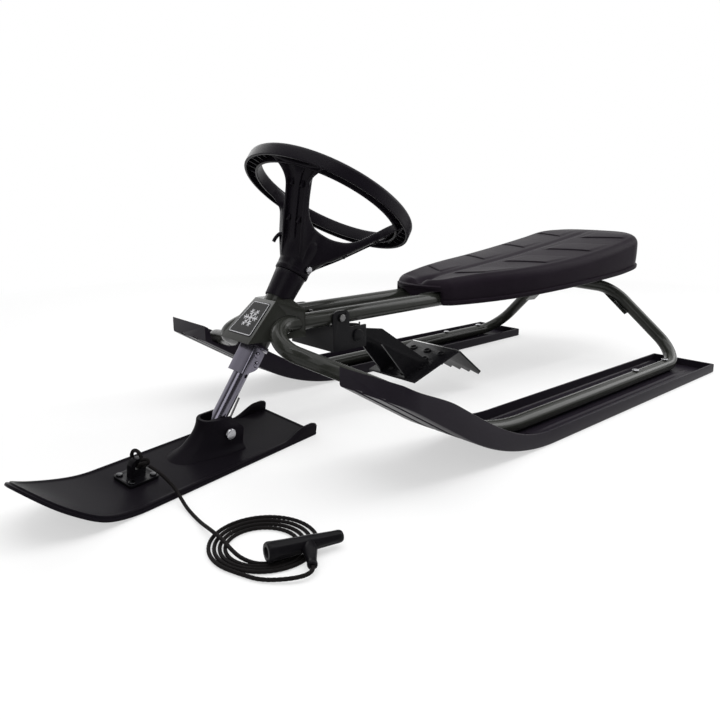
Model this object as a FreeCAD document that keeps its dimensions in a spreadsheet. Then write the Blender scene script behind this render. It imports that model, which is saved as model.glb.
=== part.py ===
import FreeCAD, Part
import math
import os
import re
import Sketcher
from types import SimpleNamespace
from FreeCAD import Placement, Rotation, Vector

# Steering sled: a tubular frame on two runners, a seat, a foot brake and one steered ski.
# +X points to the nose, +Y to the rider's left and +Z up, in millimetres.
# Places along the frame are counted from the rear end of the runners.
# Heights along the steering column, called w, are counted from the ski's pivot bolt.

doc = FreeCAD.newDocument("steering_sled")
sheet = doc.addObject("Spreadsheet::Sheet", "sizes")

driving = [
    # whole part
    ("origin_from_rear", 532.71, "rear end of the runners to the part's origin"),
    ("overrun", 6.0, "how far a cut runs past the face that it leaves"),
    ("rest_gap", 0.3, "gap between pieces that lie against each other"),
    ("running_gap", 0.05, "radial gap of a shaft in its bush"),
    # frame tubes
    ("tube_dia", 22.0, "frame tube, outside"),
    ("tube_wall", 1.5, "frame tube, wall"),
    ("tube_gauge", 65.0, "between the axes of the two upper tubes"),
    ("upper_tube_z", 164.0, "axis of the upper tubes"),
    ("tube_joint_x", 400.0, "where the ends of a frame tube meet under the seat"),
    ("tube_joint_gap", 2.0, "gap between those ends"),
    ("joint_sleeve_length", 60.0, "sleeve inside the tube joint"),
    ("splay_x", 150.0, "where the tubes splay to the rear legs"),
    ("splay_radius", 60.0, "bend there"),
    ("knee_x", 30.0, "knee of the rear leg"),
    ("knee_y", 78.0, "knee, from the middle"),
    ("knee_z", 140.0, "knee, height"),
    ("knee_radius", 60.0, "bend of the knee"),
    ("heel_x", 2.0, "where the rear leg meets the runner"),
    ("heel_radius", 50.0, "bend of the heel"),
    ("toe_x", 755.0, "where the tube turns inward at the runner's tip"),
    ("toe_radius", 45.0, "bend of the toe"),
    ("shin_x", 772.4, "bend of the front leg"),
    ("shin_y", 98.8, "bend of the front leg, from the middle"),
    ("shin_z", 121.3, "bend of the front leg, height"),
    ("shin_radius", 78.0, "bend of the front leg"),
    ("neck_x", 850.0, "where the tube turns back under the head box"),
    ("neck_radius", 32.0, "bend under the head box"),
    # runners
    ("runner_inner_y", 154.0, "inner side of a runner, from the middle"),
    ("runner_width", 110.0, "runner across"),
    ("runner_floor", 4.0, "runner floor"),
    ("runner_wall", 3.5, "runner rim wall"),
    ("rim_rear", 16.0, "rim height at the rear end"),
    ("rim_front", 20.0, "rim height from the bend to the tip"),
    ("bend_x", 510.0, "where the runner starts to rise"),
    ("bend_radius", 351.0, "bend of the runner's underside"),
    ("rise_angle", 31.0, "slope of the runner's front, degrees"),
    ("tip_x", 793.0, "front end of the runner"),
    ("groove_depth", 2.0, "guide grooves under the runner, depth"),
    ("groove_width", 14.0, "guide grooves, width"),
    ("tread_rib_height", 2.0, "foot ribs on the runner's bend"),
    ("tread_rib_width", 3.0, "foot ribs, width"),
    ("tread_rib_inset", 4.0, "foot ribs, gap to rim and tube"),
    ("notch_rear_x", 751.0, "notch in the inner rim for the tube, rear end"),
    ("notch_length", 40.0, "notch, along the slope"),
    ("notch_depth", 15.6, "notch below the rim"),
    ("runner_bolt_dia", 6.0, "bolts through tube and runner"),
    ("runner_bolt_head", 11.0, "their heads"),
    ("runner_bolt_crown", 3.0, "height of their heads"),
    # head box
    ("sheet", 2.5, "folded sheet of the head box"),
    ("box_top_rise", 30.0, "top of the head box, above the upper tubes' axis"),
    ("box_top_rear_x", 762.0, "top face, rear edge"),
    ("box_top_front_x", 788.0, "top face, front edge"),
    ("box_top_width", 46.0, "top face across"),
    ("box_rear_x", 758.0, "rear face"),
    ("box_shoulder_rise", 18.0, "shoulder of the rear face, above the tubes' axis"),
    ("box_rear_width", 92.0, "rear face across"),
    ("box_foot_drop", 17.0, "foot of the head box, below the tubes' axis"),
    ("box_nose_x", 838.0, "nose of the head box"),
    ("box_nose_width", 66.0, "nose across"),
    ("label_thick", 0.8, "label plate"),
    ("label_margin", 5.0, "label plate, inset from the sloping face"),
    # steering column
    ("head_x", 786.85, "steering axis at the height of the upper tubes"),
    ("column_tilt", 34.5, "steering axis from upright, degrees"),
    ("steer_turn", 14.5, "wheel and ski are turned left at rest, degrees"),
    ("pivot_z", 40.0, "ski pivot bolt at rest"),
    ("column_dia", 25.0, "column tube, outside"),
    ("column_wall", 2.0, "column tube, wall"),
    ("column_head_w", 284.0, "top of the column tube"),
    ("bush_wall", 2.0, "column bush, wall"),
    ("head_tube_wall", 2.5, "head tube, wall"),
    ("head_tube_foot_w", 118.0, "lower end of the head tube"),
    ("head_tube_head_w", 192.0, "upper end of the head tube"),
    ("bush_length", 18.0, "column bush"),
    ("bush_flange", 3.5, "column bush, flange"),
    ("bush_flange_dia", 38.0, "column bush, flange across"),
    ("washer_thick", 2.0, "thrust washer"),
    ("sleeve_foot_dia", 36.0, "column sleeve, lower end"),
    ("sleeve_head_dia", 42.0, "column sleeve, upper end"),
    ("sleeve_wall", 3.0, "column sleeve, wall"),
    # steering wheel
    ("wheel_dia", 240.0, "wheel rim, outside"),
    ("rim_top_w", 347.0, "top of the wheel rim"),
    ("rim_height", 20.0, "wheel rim, height of its band"),
    ("rim_depth", 20.0, "wheel rim, from outside to inside"),
    ("rim_skin", 4.0, "wheel rim, wall"),
    ("hub_foot_w", 222.0, "lower end of the hub"),
    ("hub_head_w", 290.0, "upper end of the hub"),
    ("hub_dia", 46.0, "hub"),
    ("hub_cap", 5.0, "closed top of the hub"),
    ("spoke_width", 24.0, "spoke across"),
    ("spoke_depth", 26.0, "spoke, height"),
    ("spoke_turn", 11.0, "front spoke, turned left from the fork's plane, degrees"),
    ("spoke_foot_w", 240.0, "underside of a spoke at the hub"),
    ("hub_screw_dia", 6.0, "cross screw of the hub"),
    ("hub_screw_head", 10.0, "its head"),
    ("hub_screw_crown", 4.0, "height of its head"),
    ("hub_screw_w", 234.0, "cross screw, place"),
    # fork
    ("fork_sheet", 2.5, "fork bracket, sheet"),
    ("fork_depth", 31.5, "fork bracket, front to rear"),
    ("fork_foot_w", 62.0, "fork bracket, lower edge"),
    ("fork_head_w", 112.0, "fork bracket, top"),
    ("fork_tube_dia", 20.0, "fork tube, outside"),
    ("fork_tube_wall", 2.0, "fork tube, wall"),
    ("fork_tube_foot", 10.0, "fork tube below the pivot bolt"),
    ("fork_rivet_dia", 6.0, "rivets of the fork bracket"),
    ("fork_rivet_head", 11.0, "their heads"),
    ("fork_rivet_crown", 2.2, "height of their heads"),
    ("fork_rivet_low_w", 74.0, "lower rivet"),
    ("fork_rivet_high_w", 98.0, "upper rivet"),
    # ski
    ("ski_width", 106.0, "ski across"),
    ("ski_aside", 9.0, "middle of the ski, left of the fork's middle"),
    ("ski_tail", 135.0, "tail end, behind the pivot bolt"),
    ("ski_flat", 112.0, "where the ski starts to rise, ahead of the bolt"),
    ("ski_tip", 263.2, "tip, ahead of the pivot bolt"),
    ("ski_tip_rise", 40.0, "rise of the tip's underside"),
    ("ski_floor", 5.0, "ski, floor"),
    ("ski_rim", 6.5, "ski, height of the raised edge"),
    ("ski_rim_width", 6.0, "ski, width of the raised edge"),
    ("ski_tip_radius", 52.0, "corners of the tip"),
    ("ear_length", 24.0, "upturned tail corner, length"),
    ("ear_height", 20.0, "upturned tail corner, height over the underside"),
    ("ear_thick", 8.0, "upturned tail corner, thickness"),
    ("tower_near", 28.0, "left side of the tower, from the fork's middle"),
    ("tower_far", 14.0, "right side of the tower, from the fork's middle"),
    ("tower_ramp", 66.0, "front foot of the tower, ahead of the bolt"),
    ("tower_front", 26.0, "front wall of the tower, ahead of the bolt"),
    ("tower_rear", 25.0, "rear of the tower, behind the bolt"),
    ("tower_top", 16.0, "top of the tower over the bolt"),
    ("tower_slot_front", 21.0, "front end of the slot for the fork tube"),
    ("ski_bolt_dia", 8.0, "pivot bolt"),
    ("ski_bolt_head", 15.0, "pivot bolt, head"),
    ("ski_bolt_crown", 5.0, "pivot bolt, height of its head"),
    # ski spring
    ("ski_wire", 2.6, "spring wire"),
    ("ski_coil_dia", 17.0, "middle of the spring's turns"),
    ("ski_wire_leg", 46.0, "leg of the spring along the fork tube"),
    # brake
    ("brake_pivot_x", 668.0, "brake pivot pin"),
    ("brake_pivot_drop", 28.0, "brake pivot pin, below the tubes' axis"),
    ("brake_pin_dia", 10.0, "brake pivot pin"),
    ("brake_sheet", 3.0, "brake sheet steel"),
    ("brake_side_rear_x", 652.0, "side plates of the bracket, rear edge"),
    ("brake_side_front_x", 712.0, "side plates of the bracket, front edge"),
    ("brake_side_drop", 46.0, "side plates of the bracket, lower edge below the axis"),
    ("brake_side_rise", 10.0, "side plates of the bracket, top edge above the axis"),
    ("brake_tab_rear_x", 683.0, "tab of a side plate up to the tube, rear edge"),
    ("brake_tab_drop", 15.0, "tab of a side plate, foot below the tubes' axis"),
    ("brake_bolt_x", 698.0, "bolts through bracket and tube"),
    ("brake_bolt_dia", 6.0, "these bolts"),
    ("brake_bolt_head", 10.0, "their heads"),
    ("brake_bolt_crown", 4.0, "height of their heads"),
    ("barrel_dia", 17.0, "pivot barrel of the lever"),
    ("arm_room", 14.8, "room for the spring between an arm of the lever and the side plate"),
    ("arm_thick", 4.0, "arm of the lever"),
    ("tread_width", 100.0, "tread of the brake"),
    ("ridge_x", 452.0, "ridge between tread and claw"),
    ("ridge_z", 79.0, "ridge, height"),
    ("tread_front_x", 556.0, "front edge of the tread"),
    ("tread_front_z", 47.0, "front edge of the tread, height"),
    ("claw_foot_x", 386.0, "points of the claw"),
    ("claw_foot_z", 27.0, "points of the claw, height"),
    ("tooth_height", 11.0, "teeth of the claw"),
    ("tread_hole_dia", 9.0, "holes of the tread"),
    ("tread_hole_rim", 2.0, "raised rim round a hole, width"),
    ("tread_hole_rise", 2.0, "raised rim round a hole, height"),
    ("brake_wire", 2.5, "brake spring wire"),
    ("brake_coil_dia", 15.5, "middle of the brake spring's turns"),
    # seat
    ("seat_rear_x", -62.0, "rear end of the seat"),
    ("seat_length", 570.0, "seat, front to rear"),
    ("seat_width", 230.0, "seat across"),
    ("pan_lip", 6.0, "lip of the seat pan"),
    ("pan_proud", 2.0, "lip of the seat pan beyond the pad"),
    ("seat_groove_dia", 14.0, "round of the tool that presses the grooves"),
    ("seat_groove_depth", 2.4, "grooves of the seat"),
    ("strap_x", 270.0, "cross strap below the tubes"),
    ("strap_width", 34.0, "cross strap, front to rear"),
    ("strap_thick", 3.0, "cross strap and leg straps"),
    ("strap_over", 10.0, "cross strap beyond the tubes' axes"),
    ("leg_strap_length", 104.0, "strap below a rear leg"),
    ("leg_strap_width", 26.0, "strap below a rear leg, across"),
    ("seat_bolt_x", 344.0, "front seat bolts"),
    ("seat_bolt_dia", 6.0, "seat bolts"),
    ("seat_bolt_head", 11.0, "their heads"),
    ("seat_bolt_crown", 4.0, "height of their heads"),
    ("seat_bolt_reach", 14.0, "thread in the pad's underside, above the tube"),
    # tow rope
    ("eyelet_ahead", 120.0, "rope eyelet, ahead of the pivot bolt"),
    ("eyelet_aside", 4.0, "rope eyelet, left of the ski's middle"),
    ("eyelet_base_length", 40.0, "eyelet base, front to rear"),
    ("eyelet_base_width", 34.0, "eyelet base across"),
    ("eyelet_base_thick", 4.0, "eyelet base"),
    ("eyelet_post_length", 20.0, "eyelet post, front to rear"),
    ("eyelet_post_width", 8.0, "eyelet post across"),
    ("eyelet_post_height", 26.0, "eyelet post"),
    ("eyelet_hole_dia", 9.0, "hole for the rope"),
    ("eyelet_screw_dia", 4.0, "eyelet screws"),
    ("eyelet_screw_head", 8.0, "their heads"),
    ("eyelet_screw_crown", 2.0, "height of their heads"),
    ("cord_dia", 4.5, "tow cord"),
    ("loop_radius", 9.2, "rope loop through the eyelet, radius of its middle"),
    ("knot_dia", 13.0, "knot that closes the loop"),
    ("coil_x", 948.0, "middle of the coil"),
    ("coil_y", 224.0, "middle of the coil, from the middle of the sled"),
    ("coil_inner", 30.5, "inner loop of the coil, radius"),
    ("coil_growth", 6.05, "growth of the radius from loop to loop"),
    ("coil_shift", 9.0, "inner loop's middle, shifted to the side where the loops gather"),
    ("coil_unshift", 0.95, "how much less each next loop is shifted"),
    ("coil_over", 5.0, "how far the rope's run over the loops lies above them"),
    ("edge_ahead", 108.0, "where the rope crosses the ski's edge, ahead of the pivot bolt"),
    ("route_span", 100.0, "unit of the rope's free route"),
    ("handle_x", 970.0, "wide end of the rope handle"),
    ("handle_y", 257.6, "wide end of the rope handle, from the middle of the sled"),
    ("handle_length", 78.0, "rope handle"),
    ("handle_dia", 19.0, "rope handle, round end"),
    ("handle_end_dia", 12.0, "rope handle, tapered end"),
    ("handle_bore", 9.0, "rope handle, hollow end"),
    ("handle_bore_depth", 30.0, "rope handle, depth of the hollow"),
    ("boss_length", 32.0, "boss of the rope handle"),
    ("boss_dia", 14.0, "boss of the rope handle, across at its root"),
    ("boss_end_dia", 9.0, "boss of the rope handle, across at its end"),
]
for row, (alias, number, note) in enumerate(driving, 1):
    sheet.set("A%d" % row, alias)
    sheet.set("B%d" % row, str(number))
    sheet.set("C%d" % row, note)
    sheet.setAlias("B%d" % row, alias)
doc.recompute()
s = SimpleNamespace(**{alias: float(sheet.get(alias)) for alias, number, note in driving})

# counts
tread_rib_count = 13
seat_chevron_count = 4
claw_tooth_count = 5
ski_coil_turns = 2
brake_coil_turns = 3
coil_loops = 4

nodes = []
up = Vector(0, 0, 1)
left = Vector(0, 1, 0)
ahead = Vector(1, 0, 0)


# Small helpers

def node(obj, label, place=None):
    obj.Label = label
    if place is not None:
        obj.Placement = place
    nodes.append(obj)
    return obj


def solid_node(label, shape, place):
    # a sub-part whose form comes straight from swept, lofted or joined solids
    obj = doc.addObject("Part::Feature", label)
    obj.Shape = shape
    return node(obj, label, place)


def mirrored_node(label, source):
    obj = doc.addObject("Part::Mirroring", label)
    obj.Source = source
    obj.Normal = left
    return node(obj, label)


def number(expression):
    return float(sheet.evalExpression(expression))


def bound(expression):
    # the same expression as another object reads it
    return re.sub("[a-z][a-z_]*", lambda word: "sizes." + word.group(0), expression)


def plane(body, role):
    return [f for f in body.Origin.OriginFeatures if f.Role == role][0]


def outline_sketch(body, role, corners):
    # closed outline of straight sides, every corner bound to a pair of expressions
    sketch = body.newObject("Sketcher::SketchObject", body.Name + "_outline")
    sketch.AttachmentSupport = [(plane(body, role), "")]
    sketch.MapMode = "FlatFace"
    points = [Vector(number(across), number(rise), 0) for across, rise in corners]
    count = len(points)
    for i in range(count):
        sketch.addGeometry(Part.LineSegment(points[i], points[(i + 1) % count]), False)
    for i, (across, rise) in enumerate(corners):
        sketch.addConstraint(Sketcher.Constraint("Coincident", i, 2, (i + 1) % count, 1))
        for kind, name, expression in (("DistanceX", "across", across), ("DistanceY", "rise", rise)):
            index = sketch.addConstraint(Sketcher.Constraint(kind, -1, 1, i, 1, number(expression)))
            sketch.renameConstraint(index, "%s%d" % (name, i))
            sketch.setExpression("Constraints.%s%d" % (name, i), bound(expression))
    return sketch


def body_of(label):
    return doc.addObject("PartDesign::Body", label)


def revolution(body, corners):
    # outline in the XZ plane, turned about Z
    sketch = outline_sketch(body, "XZ_Plane", corners)
    feature = body.newObject("PartDesign::Revolution", body.Name + "_turned")
    feature.Profile = sketch
    feature.ReferenceAxis = (sketch, ["V_Axis"])
    feature.Angle = 360
    doc.recompute()
    return feature


def pad(body, role, corners, length, middle=False):
    sketch = outline_sketch(body, role, corners)
    feature = body.newObject("PartDesign::Pad", body.Name + "_pad")
    feature.Profile = sketch
    feature.setExpression("Length", bound(length))
    if middle:
        feature.SideType = "Symmetric"
    doc.recompute()
    return feature


def cylinder(start, end, radius):
    return Part.makeCylinder(radius, (end - start).Length, start, end - start)


def corner_arc(before, corner, after):
    # arc tangent to both legs of a corner, whose two legs are equally long
    a = (before - corner).normalize()
    b = (after - corner).normalize()
    half_turn = (math.pi - a.getAngle(b)) / 2
    radius = (before - corner).Length / math.tan(half_turn)
    middle = corner + (a + b).normalize() * (radius / math.cos(half_turn) - radius)
    return Part.Arc(before, middle, after).toShape(), radius


def bent_path(points, radii):
    # straight runs joined by tangent arcs, one radius for each inner point
    edges = []
    start = points[0]
    for point, nxt, radius in zip(points[1:], points[2:], radii):
        a = (start - point).normalize()
        b = (nxt - point).normalize()
        leg = radius * math.tan((math.pi - a.getAngle(b)) / 2)
        edges.append(Part.LineSegment(start, point + a * leg).toShape())
        edges.append(corner_arc(point + a * leg, point, point + b * leg)[0])
        start = point + b * leg
    edges.append(Part.LineSegment(start, points[-1]).toShape())
    return Part.Wire(edges)


def biarc(start, start_way, end, end_way):
    # two arcs that leave start along start_way and reach end along end_way
    chord = end - start
    ways = start_way + end_way
    spread = 2 * (1 - start_way.dot(end_way))
    along = chord.dot(ways)
    leg = (math.sqrt(along * along + spread * chord.dot(chord)) - along) / spread
    first = start + start_way * leg
    second = end - end_way * leg
    middle = (first + second) * 0.5
    return [corner_arc(start, first, middle)[0], corner_arc(middle, second, end)[0]]


def wound_path(places, ways):
    edges = []
    for i in range(len(places) - 1):
        edges += biarc(places[i], ways[i], places[i + 1], ways[i + 1])
    return edges


def swept(path, radius):
    first = path.Edges[0]
    start = first.valueAt(first.FirstParameter)
    way = first.tangentAt(first.FirstParameter)
    ring = Part.Wire(Part.makeCircle(radius, start, way))
    return path.makePipeShell([ring], True, False)


def report_wound(label, path, dia):
    # least gap between stretches of one wound tube, measured on points along it
    points = path.discretize(Distance=dia / 4)
    apart = int(3 * 4)
    least = min((points[i] - points[j]).Length
                for i in range(len(points)) for j in range(i + apart, len(points)))
    print("%s: length %.1f mm, least gap to itself %.2f mm" % (label, path.Length, least - dia))


def report_tube(label, shape, path, radius):
    share = shape.Volume / (math.pi * radius ** 2 * path.Length)
    print("%s: length %.1f mm, volume over section times length %.4f" % (label, path.Length, share))


def hex_bolt(start, end, shank, head, crown):
    # shank from start to end, head on the start side
    way = (end - start).normalize()
    body = cylinder(start - way * (crown / 2), end, shank / 2)
    cap = cylinder(start - way * crown, start, head / 2)
    return body.fuse(cap).removeSplitter()


# Frames of reference

tilt = math.radians(s.column_tilt)
turn = math.radians(s.steer_turn)
ground = Placement(Vector(-s.origin_from_rear, 0, 0), Rotation())
pivot_x = s.head_x + (s.upper_tube_z - s.pivot_z) * math.tan(tilt)
pivot = Vector(pivot_x - s.origin_from_rear, 0, s.pivot_z)
lean = Rotation(left, -s.column_tilt)
steered = Placement(pivot, lean * Rotation(up, s.steer_turn))

# Heights that follow the upper tubes
box_top_z = s.upper_tube_z + s.box_top_rise
box_shoulder_z = s.upper_tube_z + s.box_shoulder_rise
box_foot_z = s.upper_tube_z - s.box_foot_drop
brake_pivot_z = s.upper_tube_z - s.brake_pivot_drop
brake_side_foot_z = s.upper_tube_z - s.brake_side_drop
brake_side_top_z = s.upper_tube_z + s.brake_side_rise
brake_tab_foot_z = s.upper_tube_z - s.brake_tab_drop

# The ski lies on its left edge when it is turned, and its nose is lifted to keep that edge level.
keeps_upright_share = math.cos(turn) + math.cos(tilt) ** 2 * (1 - math.cos(turn))
edge_drop = (s.ski_aside + s.ski_width / 2) * math.sin(tilt) * math.sin(turn)
ski_rise = (s.pivot_z - edge_drop - s.running_gap) / keeps_upright_share
nose_lift = math.degrees(math.atan(math.sin(tilt) * math.cos(tilt) * (1 - math.cos(turn))))
turned_ski = Placement(pivot, lean * Rotation(up, s.steer_turn) * lean.inverted() * Rotation(left, -nose_lift))

print("pivot", [round(c, 3) for c in pivot], "ski rise", round(ski_rise, 3), "nose lift", round(nose_lift, 3))
print("column way", [round(c, 5) for c in lean.multVec(up)])
print("pivot way", [round(c, 5) for c in turned_ski.Rotation.multVec(left)])


# Frame tubes

tube_r = s.tube_dia / 2
rise = math.radians(s.rise_angle)
gauge_y = s.tube_gauge / 2
runner_y = s.runner_inner_y + s.runner_width / 2
tube_lie = s.runner_floor + tube_r + s.rest_gap
lie_radius = s.bend_radius - tube_lie
bend_corner_x = s.bend_x + lie_radius * math.tan(rise / 2)
toe_z = tube_lie + (s.toe_x - bend_corner_x) * math.tan(rise)
tube_points = [
    Vector(s.tube_joint_x - s.tube_joint_gap / 2, gauge_y, s.upper_tube_z),
    Vector(s.splay_x, gauge_y, s.upper_tube_z),
    Vector(s.knee_x, s.knee_y, s.knee_z),
    Vector(s.heel_x, runner_y, tube_lie),
    Vector(bend_corner_x, runner_y, tube_lie),
    Vector(s.toe_x, runner_y, toe_z),
    Vector(s.shin_x, s.shin_y, s.shin_z),
    Vector(s.neck_x, gauge_y, s.upper_tube_z),
    Vector(s.tube_joint_x + s.tube_joint_gap / 2, gauge_y, s.upper_tube_z),
]
tube_radii = [s.splay_radius, s.knee_radius, s.heel_radius, lie_radius,
              s.toe_radius, s.shin_radius, s.neck_radius]
tube_path = bent_path(tube_points, tube_radii)
tube_outside = swept(tube_path, tube_r)
tube_inside = swept(tube_path, tube_r - s.tube_wall)
report_tube("frame tube", tube_outside, tube_path, tube_r)
joint_at = Vector(s.tube_joint_x, gauge_y, s.upper_tube_z)
tube_room = swept(tube_path, tube_r + s.rest_gap).fuse(
    cylinder(joint_at - ahead * s.overrun, joint_at + ahead * s.overrun, tube_r + s.rest_gap))
to_right = (Vector(0, 0, 0), left)
both_rooms = [tube_room, tube_room.mirror(*to_right)]

frame_tube_left = solid_node("frame_tube_left", tube_outside.cut(tube_inside), ground)
mirrored_node("frame_tube_right", frame_tube_left)

sleeve_r = tube_r - s.tube_wall - s.running_gap
sleeve_bore = sleeve_r - s.tube_wall
joint_sleeves = []
for side in (1, -1):
    middle = Vector(s.tube_joint_x, side * gauge_y, s.upper_tube_z)
    half = ahead * (s.joint_sleeve_length / 2)
    over = ahead * (s.joint_sleeve_length / 2 + s.overrun)
    joint_sleeves.append(cylinder(middle - half, middle + half, sleeve_r)
                         .cut(cylinder(middle - over, middle + over, sleeve_bore)))
solid_node("tube_joint_sleeves", Part.makeCompound(joint_sleeves), ground)


# Runners

def side_view(edges, y, width):
    # solid between two upright planes, from its closed outline in a side view
    face = Part.Face(Part.Wire(Part.__sortEdges__(edges)))
    face.translate(Vector(0, y, 0))
    return face.extrude(Vector(0, width, 0))


def runner_line(offset, rear_x, front_x, rear_offset=None):
    # line at a height over the underside: straight, round the bend, straight up to the tip
    radius = s.bend_radius - offset
    flat = Vector(s.bend_x, 0, offset)
    half = Vector(s.bend_x + radius * math.sin(rise / 2), 0, s.bend_radius - radius * math.cos(rise / 2))
    top = Vector(s.bend_x + radius * math.sin(rise), 0, s.bend_radius - radius * math.cos(rise))
    tip = Vector(front_x, 0, top.z + (front_x - top.x) * math.tan(rise))
    rear = Vector(rear_x, 0, offset if rear_offset is None else rear_offset)
    edges = [Part.LineSegment(rear, flat).toShape(), Part.Arc(flat, half, top).toShape(),
             Part.LineSegment(top, tip).toShape()]
    return edges, rear, tip


def runner_slab(low, high, rear_x, front_x, y, width, high_rear=None):
    below, low_rear, low_tip = runner_line(low, rear_x, front_x)
    above, top_rear, top_tip = runner_line(high, rear_x, front_x, high_rear)
    ends = [Part.LineSegment(low_rear, top_rear).toShape(), Part.LineSegment(low_tip, top_tip).toShape()]
    return side_view(below + above + ends, y, width)


room_y = s.runner_inner_y + s.runner_wall
room_width = s.runner_width - 2 * s.runner_wall
runner = runner_slab(0, s.rim_front, 0, s.tip_x, s.runner_inner_y, s.runner_width, s.rim_rear)
runner = runner.cut(runner_slab(s.runner_floor, s.rim_front + s.overrun, s.runner_wall,
                                s.tip_x - s.runner_wall, room_y, room_width))
for share in (0.3, 0.7):
    groove_y = s.runner_inner_y + share * s.runner_width - s.groove_width / 2
    runner = runner.cut(runner_slab(-s.overrun, s.groove_depth, -s.overrun, s.tip_x + s.overrun,
                                    groove_y, s.groove_width))
notch = Part.makeBox(s.notch_length, s.runner_wall + 2 * s.overrun, s.notch_depth + s.overrun)
notch_foot = runner_line(s.rim_front - s.notch_depth, 0, s.notch_rear_x)[2]
notch.Placement = Placement(notch_foot + left * (s.runner_inner_y - s.overrun), Rotation(left, -s.rise_angle))
runner = runner.cut(notch)
strip_width = (room_width - s.tube_dia) / 2 - 2 * s.tread_rib_inset
ribs = []
for i in range(tread_rib_count):
    angle = rise * (i + 0.5) / tread_rib_count
    foot = Vector(s.bend_x + (s.bend_radius - s.runner_floor) * math.sin(angle), 0,
                  s.bend_radius - (s.bend_radius - s.runner_floor) * math.cos(angle))
    for strip_y in (room_y + s.tread_rib_inset, room_y + room_width - s.tread_rib_inset - strip_width):
        rib = Part.makeBox(s.tread_rib_width, strip_width, s.tread_rib_height + s.runner_floor / 2)
        rib.translate(Vector(-s.tread_rib_width / 2, 0, -s.runner_floor / 2))
        rib.Placement = Placement(foot + Vector(0, strip_y, 0), Rotation(left, -math.degrees(angle))) * rib.Placement
        ribs.append(rib)
runner = runner.fuse(ribs)
runner_left = solid_node("runner_left", runner, ground)
mirrored_node("runner_right", runner_left)

runner_bolt_shares = (0.09, 0.227)
bolts = []
for share in runner_bolt_shares:
    for side in (1, -1):
        place = Vector(share * s.tip_x, side * runner_y, 0)
        head_z = tube_lie + tube_r
        bolt = hex_bolt(place + up * head_z, place + up * s.groove_depth,
                        s.runner_bolt_dia, s.runner_bolt_head, s.runner_bolt_crown)
        bolts.append(bolt)
runner_bolts = solid_node("runner_bolts", Part.makeCompound(bolts), ground)


# Head box and head tube

def box_solid(inset, foot_drop):
    # wedge with a sloping face, drawn in by an inset on every side but its foot
    top_z = box_top_z - inset
    top_y = s.box_top_width / 2 - inset
    rear_y = s.box_rear_width / 2 - inset
    nose_y = s.box_nose_width / 2 - inset
    rear_x = s.box_rear_x + inset
    slope_inset = inset * 1.4
    corner = {}
    for side in (1, -1):
        corner["a", side] = Vector(s.box_top_rear_x + inset, side * top_y, top_z)
        corner["b", side] = Vector(s.box_top_front_x - slope_inset, side * top_y, top_z)
        corner["c", side] = Vector(rear_x, side * rear_y, box_shoulder_z - inset)
        corner["d", side] = Vector(rear_x, side * rear_y, box_foot_z - foot_drop)
        corner["e", side] = Vector(s.box_nose_x - slope_inset, side * nose_y, box_foot_z - foot_drop)
    faces = []
    for way in (1, -1):
        for names in ("abc", "bcd", "bde"):
            faces.append([corner[n, way] for n in names])
    for first, second in ("ab", "be", "ed", "dc", "ca"):
        faces.append([corner[first, 1], corner[second, 1], corner[second, -1], corner[first, -1]])
    shell = Part.makeShell([Part.Face(Part.makePolygon(f + f[:1])) for f in faces])
    solid = Part.makeSolid(shell)
    if solid.Volume < 0:
        solid.reverse()
    return solid


def on_column(w, across=0, forward=0):
    # point in the frame's own coordinates, with the wheel straight ahead
    return Vector(pivot_x, 0, s.pivot_z) + lean.multVec(Vector(forward, across, w))


box = box_solid(0, 0).cut(box_solid(s.sheet, s.overrun))
box = box.cut(cylinder(on_column(s.head_tube_foot_w - s.overrun), on_column(s.head_tube_head_w + s.overrun),
                       s.column_dia / 2 + s.bush_wall + s.head_tube_wall + s.rest_gap))
for room in both_rooms:
    box = box.cut(room)
solid_node("head_box", max(box.Solids, key=lambda piece: piece.Volume), ground)

slope_top = Vector(s.box_top_front_x, 0, box_top_z)
slope_foot = Vector(s.box_nose_x, 0, box_foot_z)
slope_way = (slope_foot - slope_top).normalize()
slope_out = slope_way.cross(left).normalize()
if slope_out.z < 0:
    slope_out = slope_out * -1
slope_length = (slope_foot - slope_top).Length
widen = (s.box_nose_width - s.box_top_width) / 2 / slope_length
label_ends = []
for along in (s.label_margin, slope_length - 2 * s.label_margin):
    half_y = s.box_top_width / 2 + widen * along - s.label_margin
    label_ends.append((slope_top + slope_way * along, half_y))
(high, high_y), (low, low_y) = label_ends
label_corners = [high + left * high_y, high - left * high_y, low - left * low_y, low + left * low_y]
label_face = Part.Face(Part.makePolygon(label_corners + label_corners[:1]))
solid_node("label_plate", label_face.extrude(slope_out * s.label_thick), ground)

straight = Placement(pivot, lean)
head_tube = body_of("head_tube")
revolution(head_tube, [
    ("column_dia / 2 + bush_wall", "head_tube_foot_w"), ("column_dia / 2 + bush_wall + head_tube_wall", "head_tube_foot_w"),
    ("column_dia / 2 + bush_wall + head_tube_wall", "head_tube_head_w"), ("column_dia / 2 + bush_wall", "head_tube_head_w")])
node(head_tube, "head_tube", straight)

bush_outer = "column_dia / 2 + bush_wall"
bush_bore = "column_dia / 2 + running_gap"
for label, end, way in (("lower_column_bush", "head_tube_foot_w", 1), ("upper_column_bush", "head_tube_head_w", -1)):
    bush = body_of(label)
    inner_end = "%s + %d * bush_length" % (end, way)
    flange_end = "%s - %d * bush_flange" % (end, way)
    revolution(bush, [(bush_bore, flange_end), ("bush_flange_dia / 2", flange_end), ("bush_flange_dia / 2", end),
                      (bush_outer, end), (bush_outer, inner_end), (bush_bore, inner_end)])
    node(bush, label, straight)


# Steering column, wheel and fork

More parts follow.
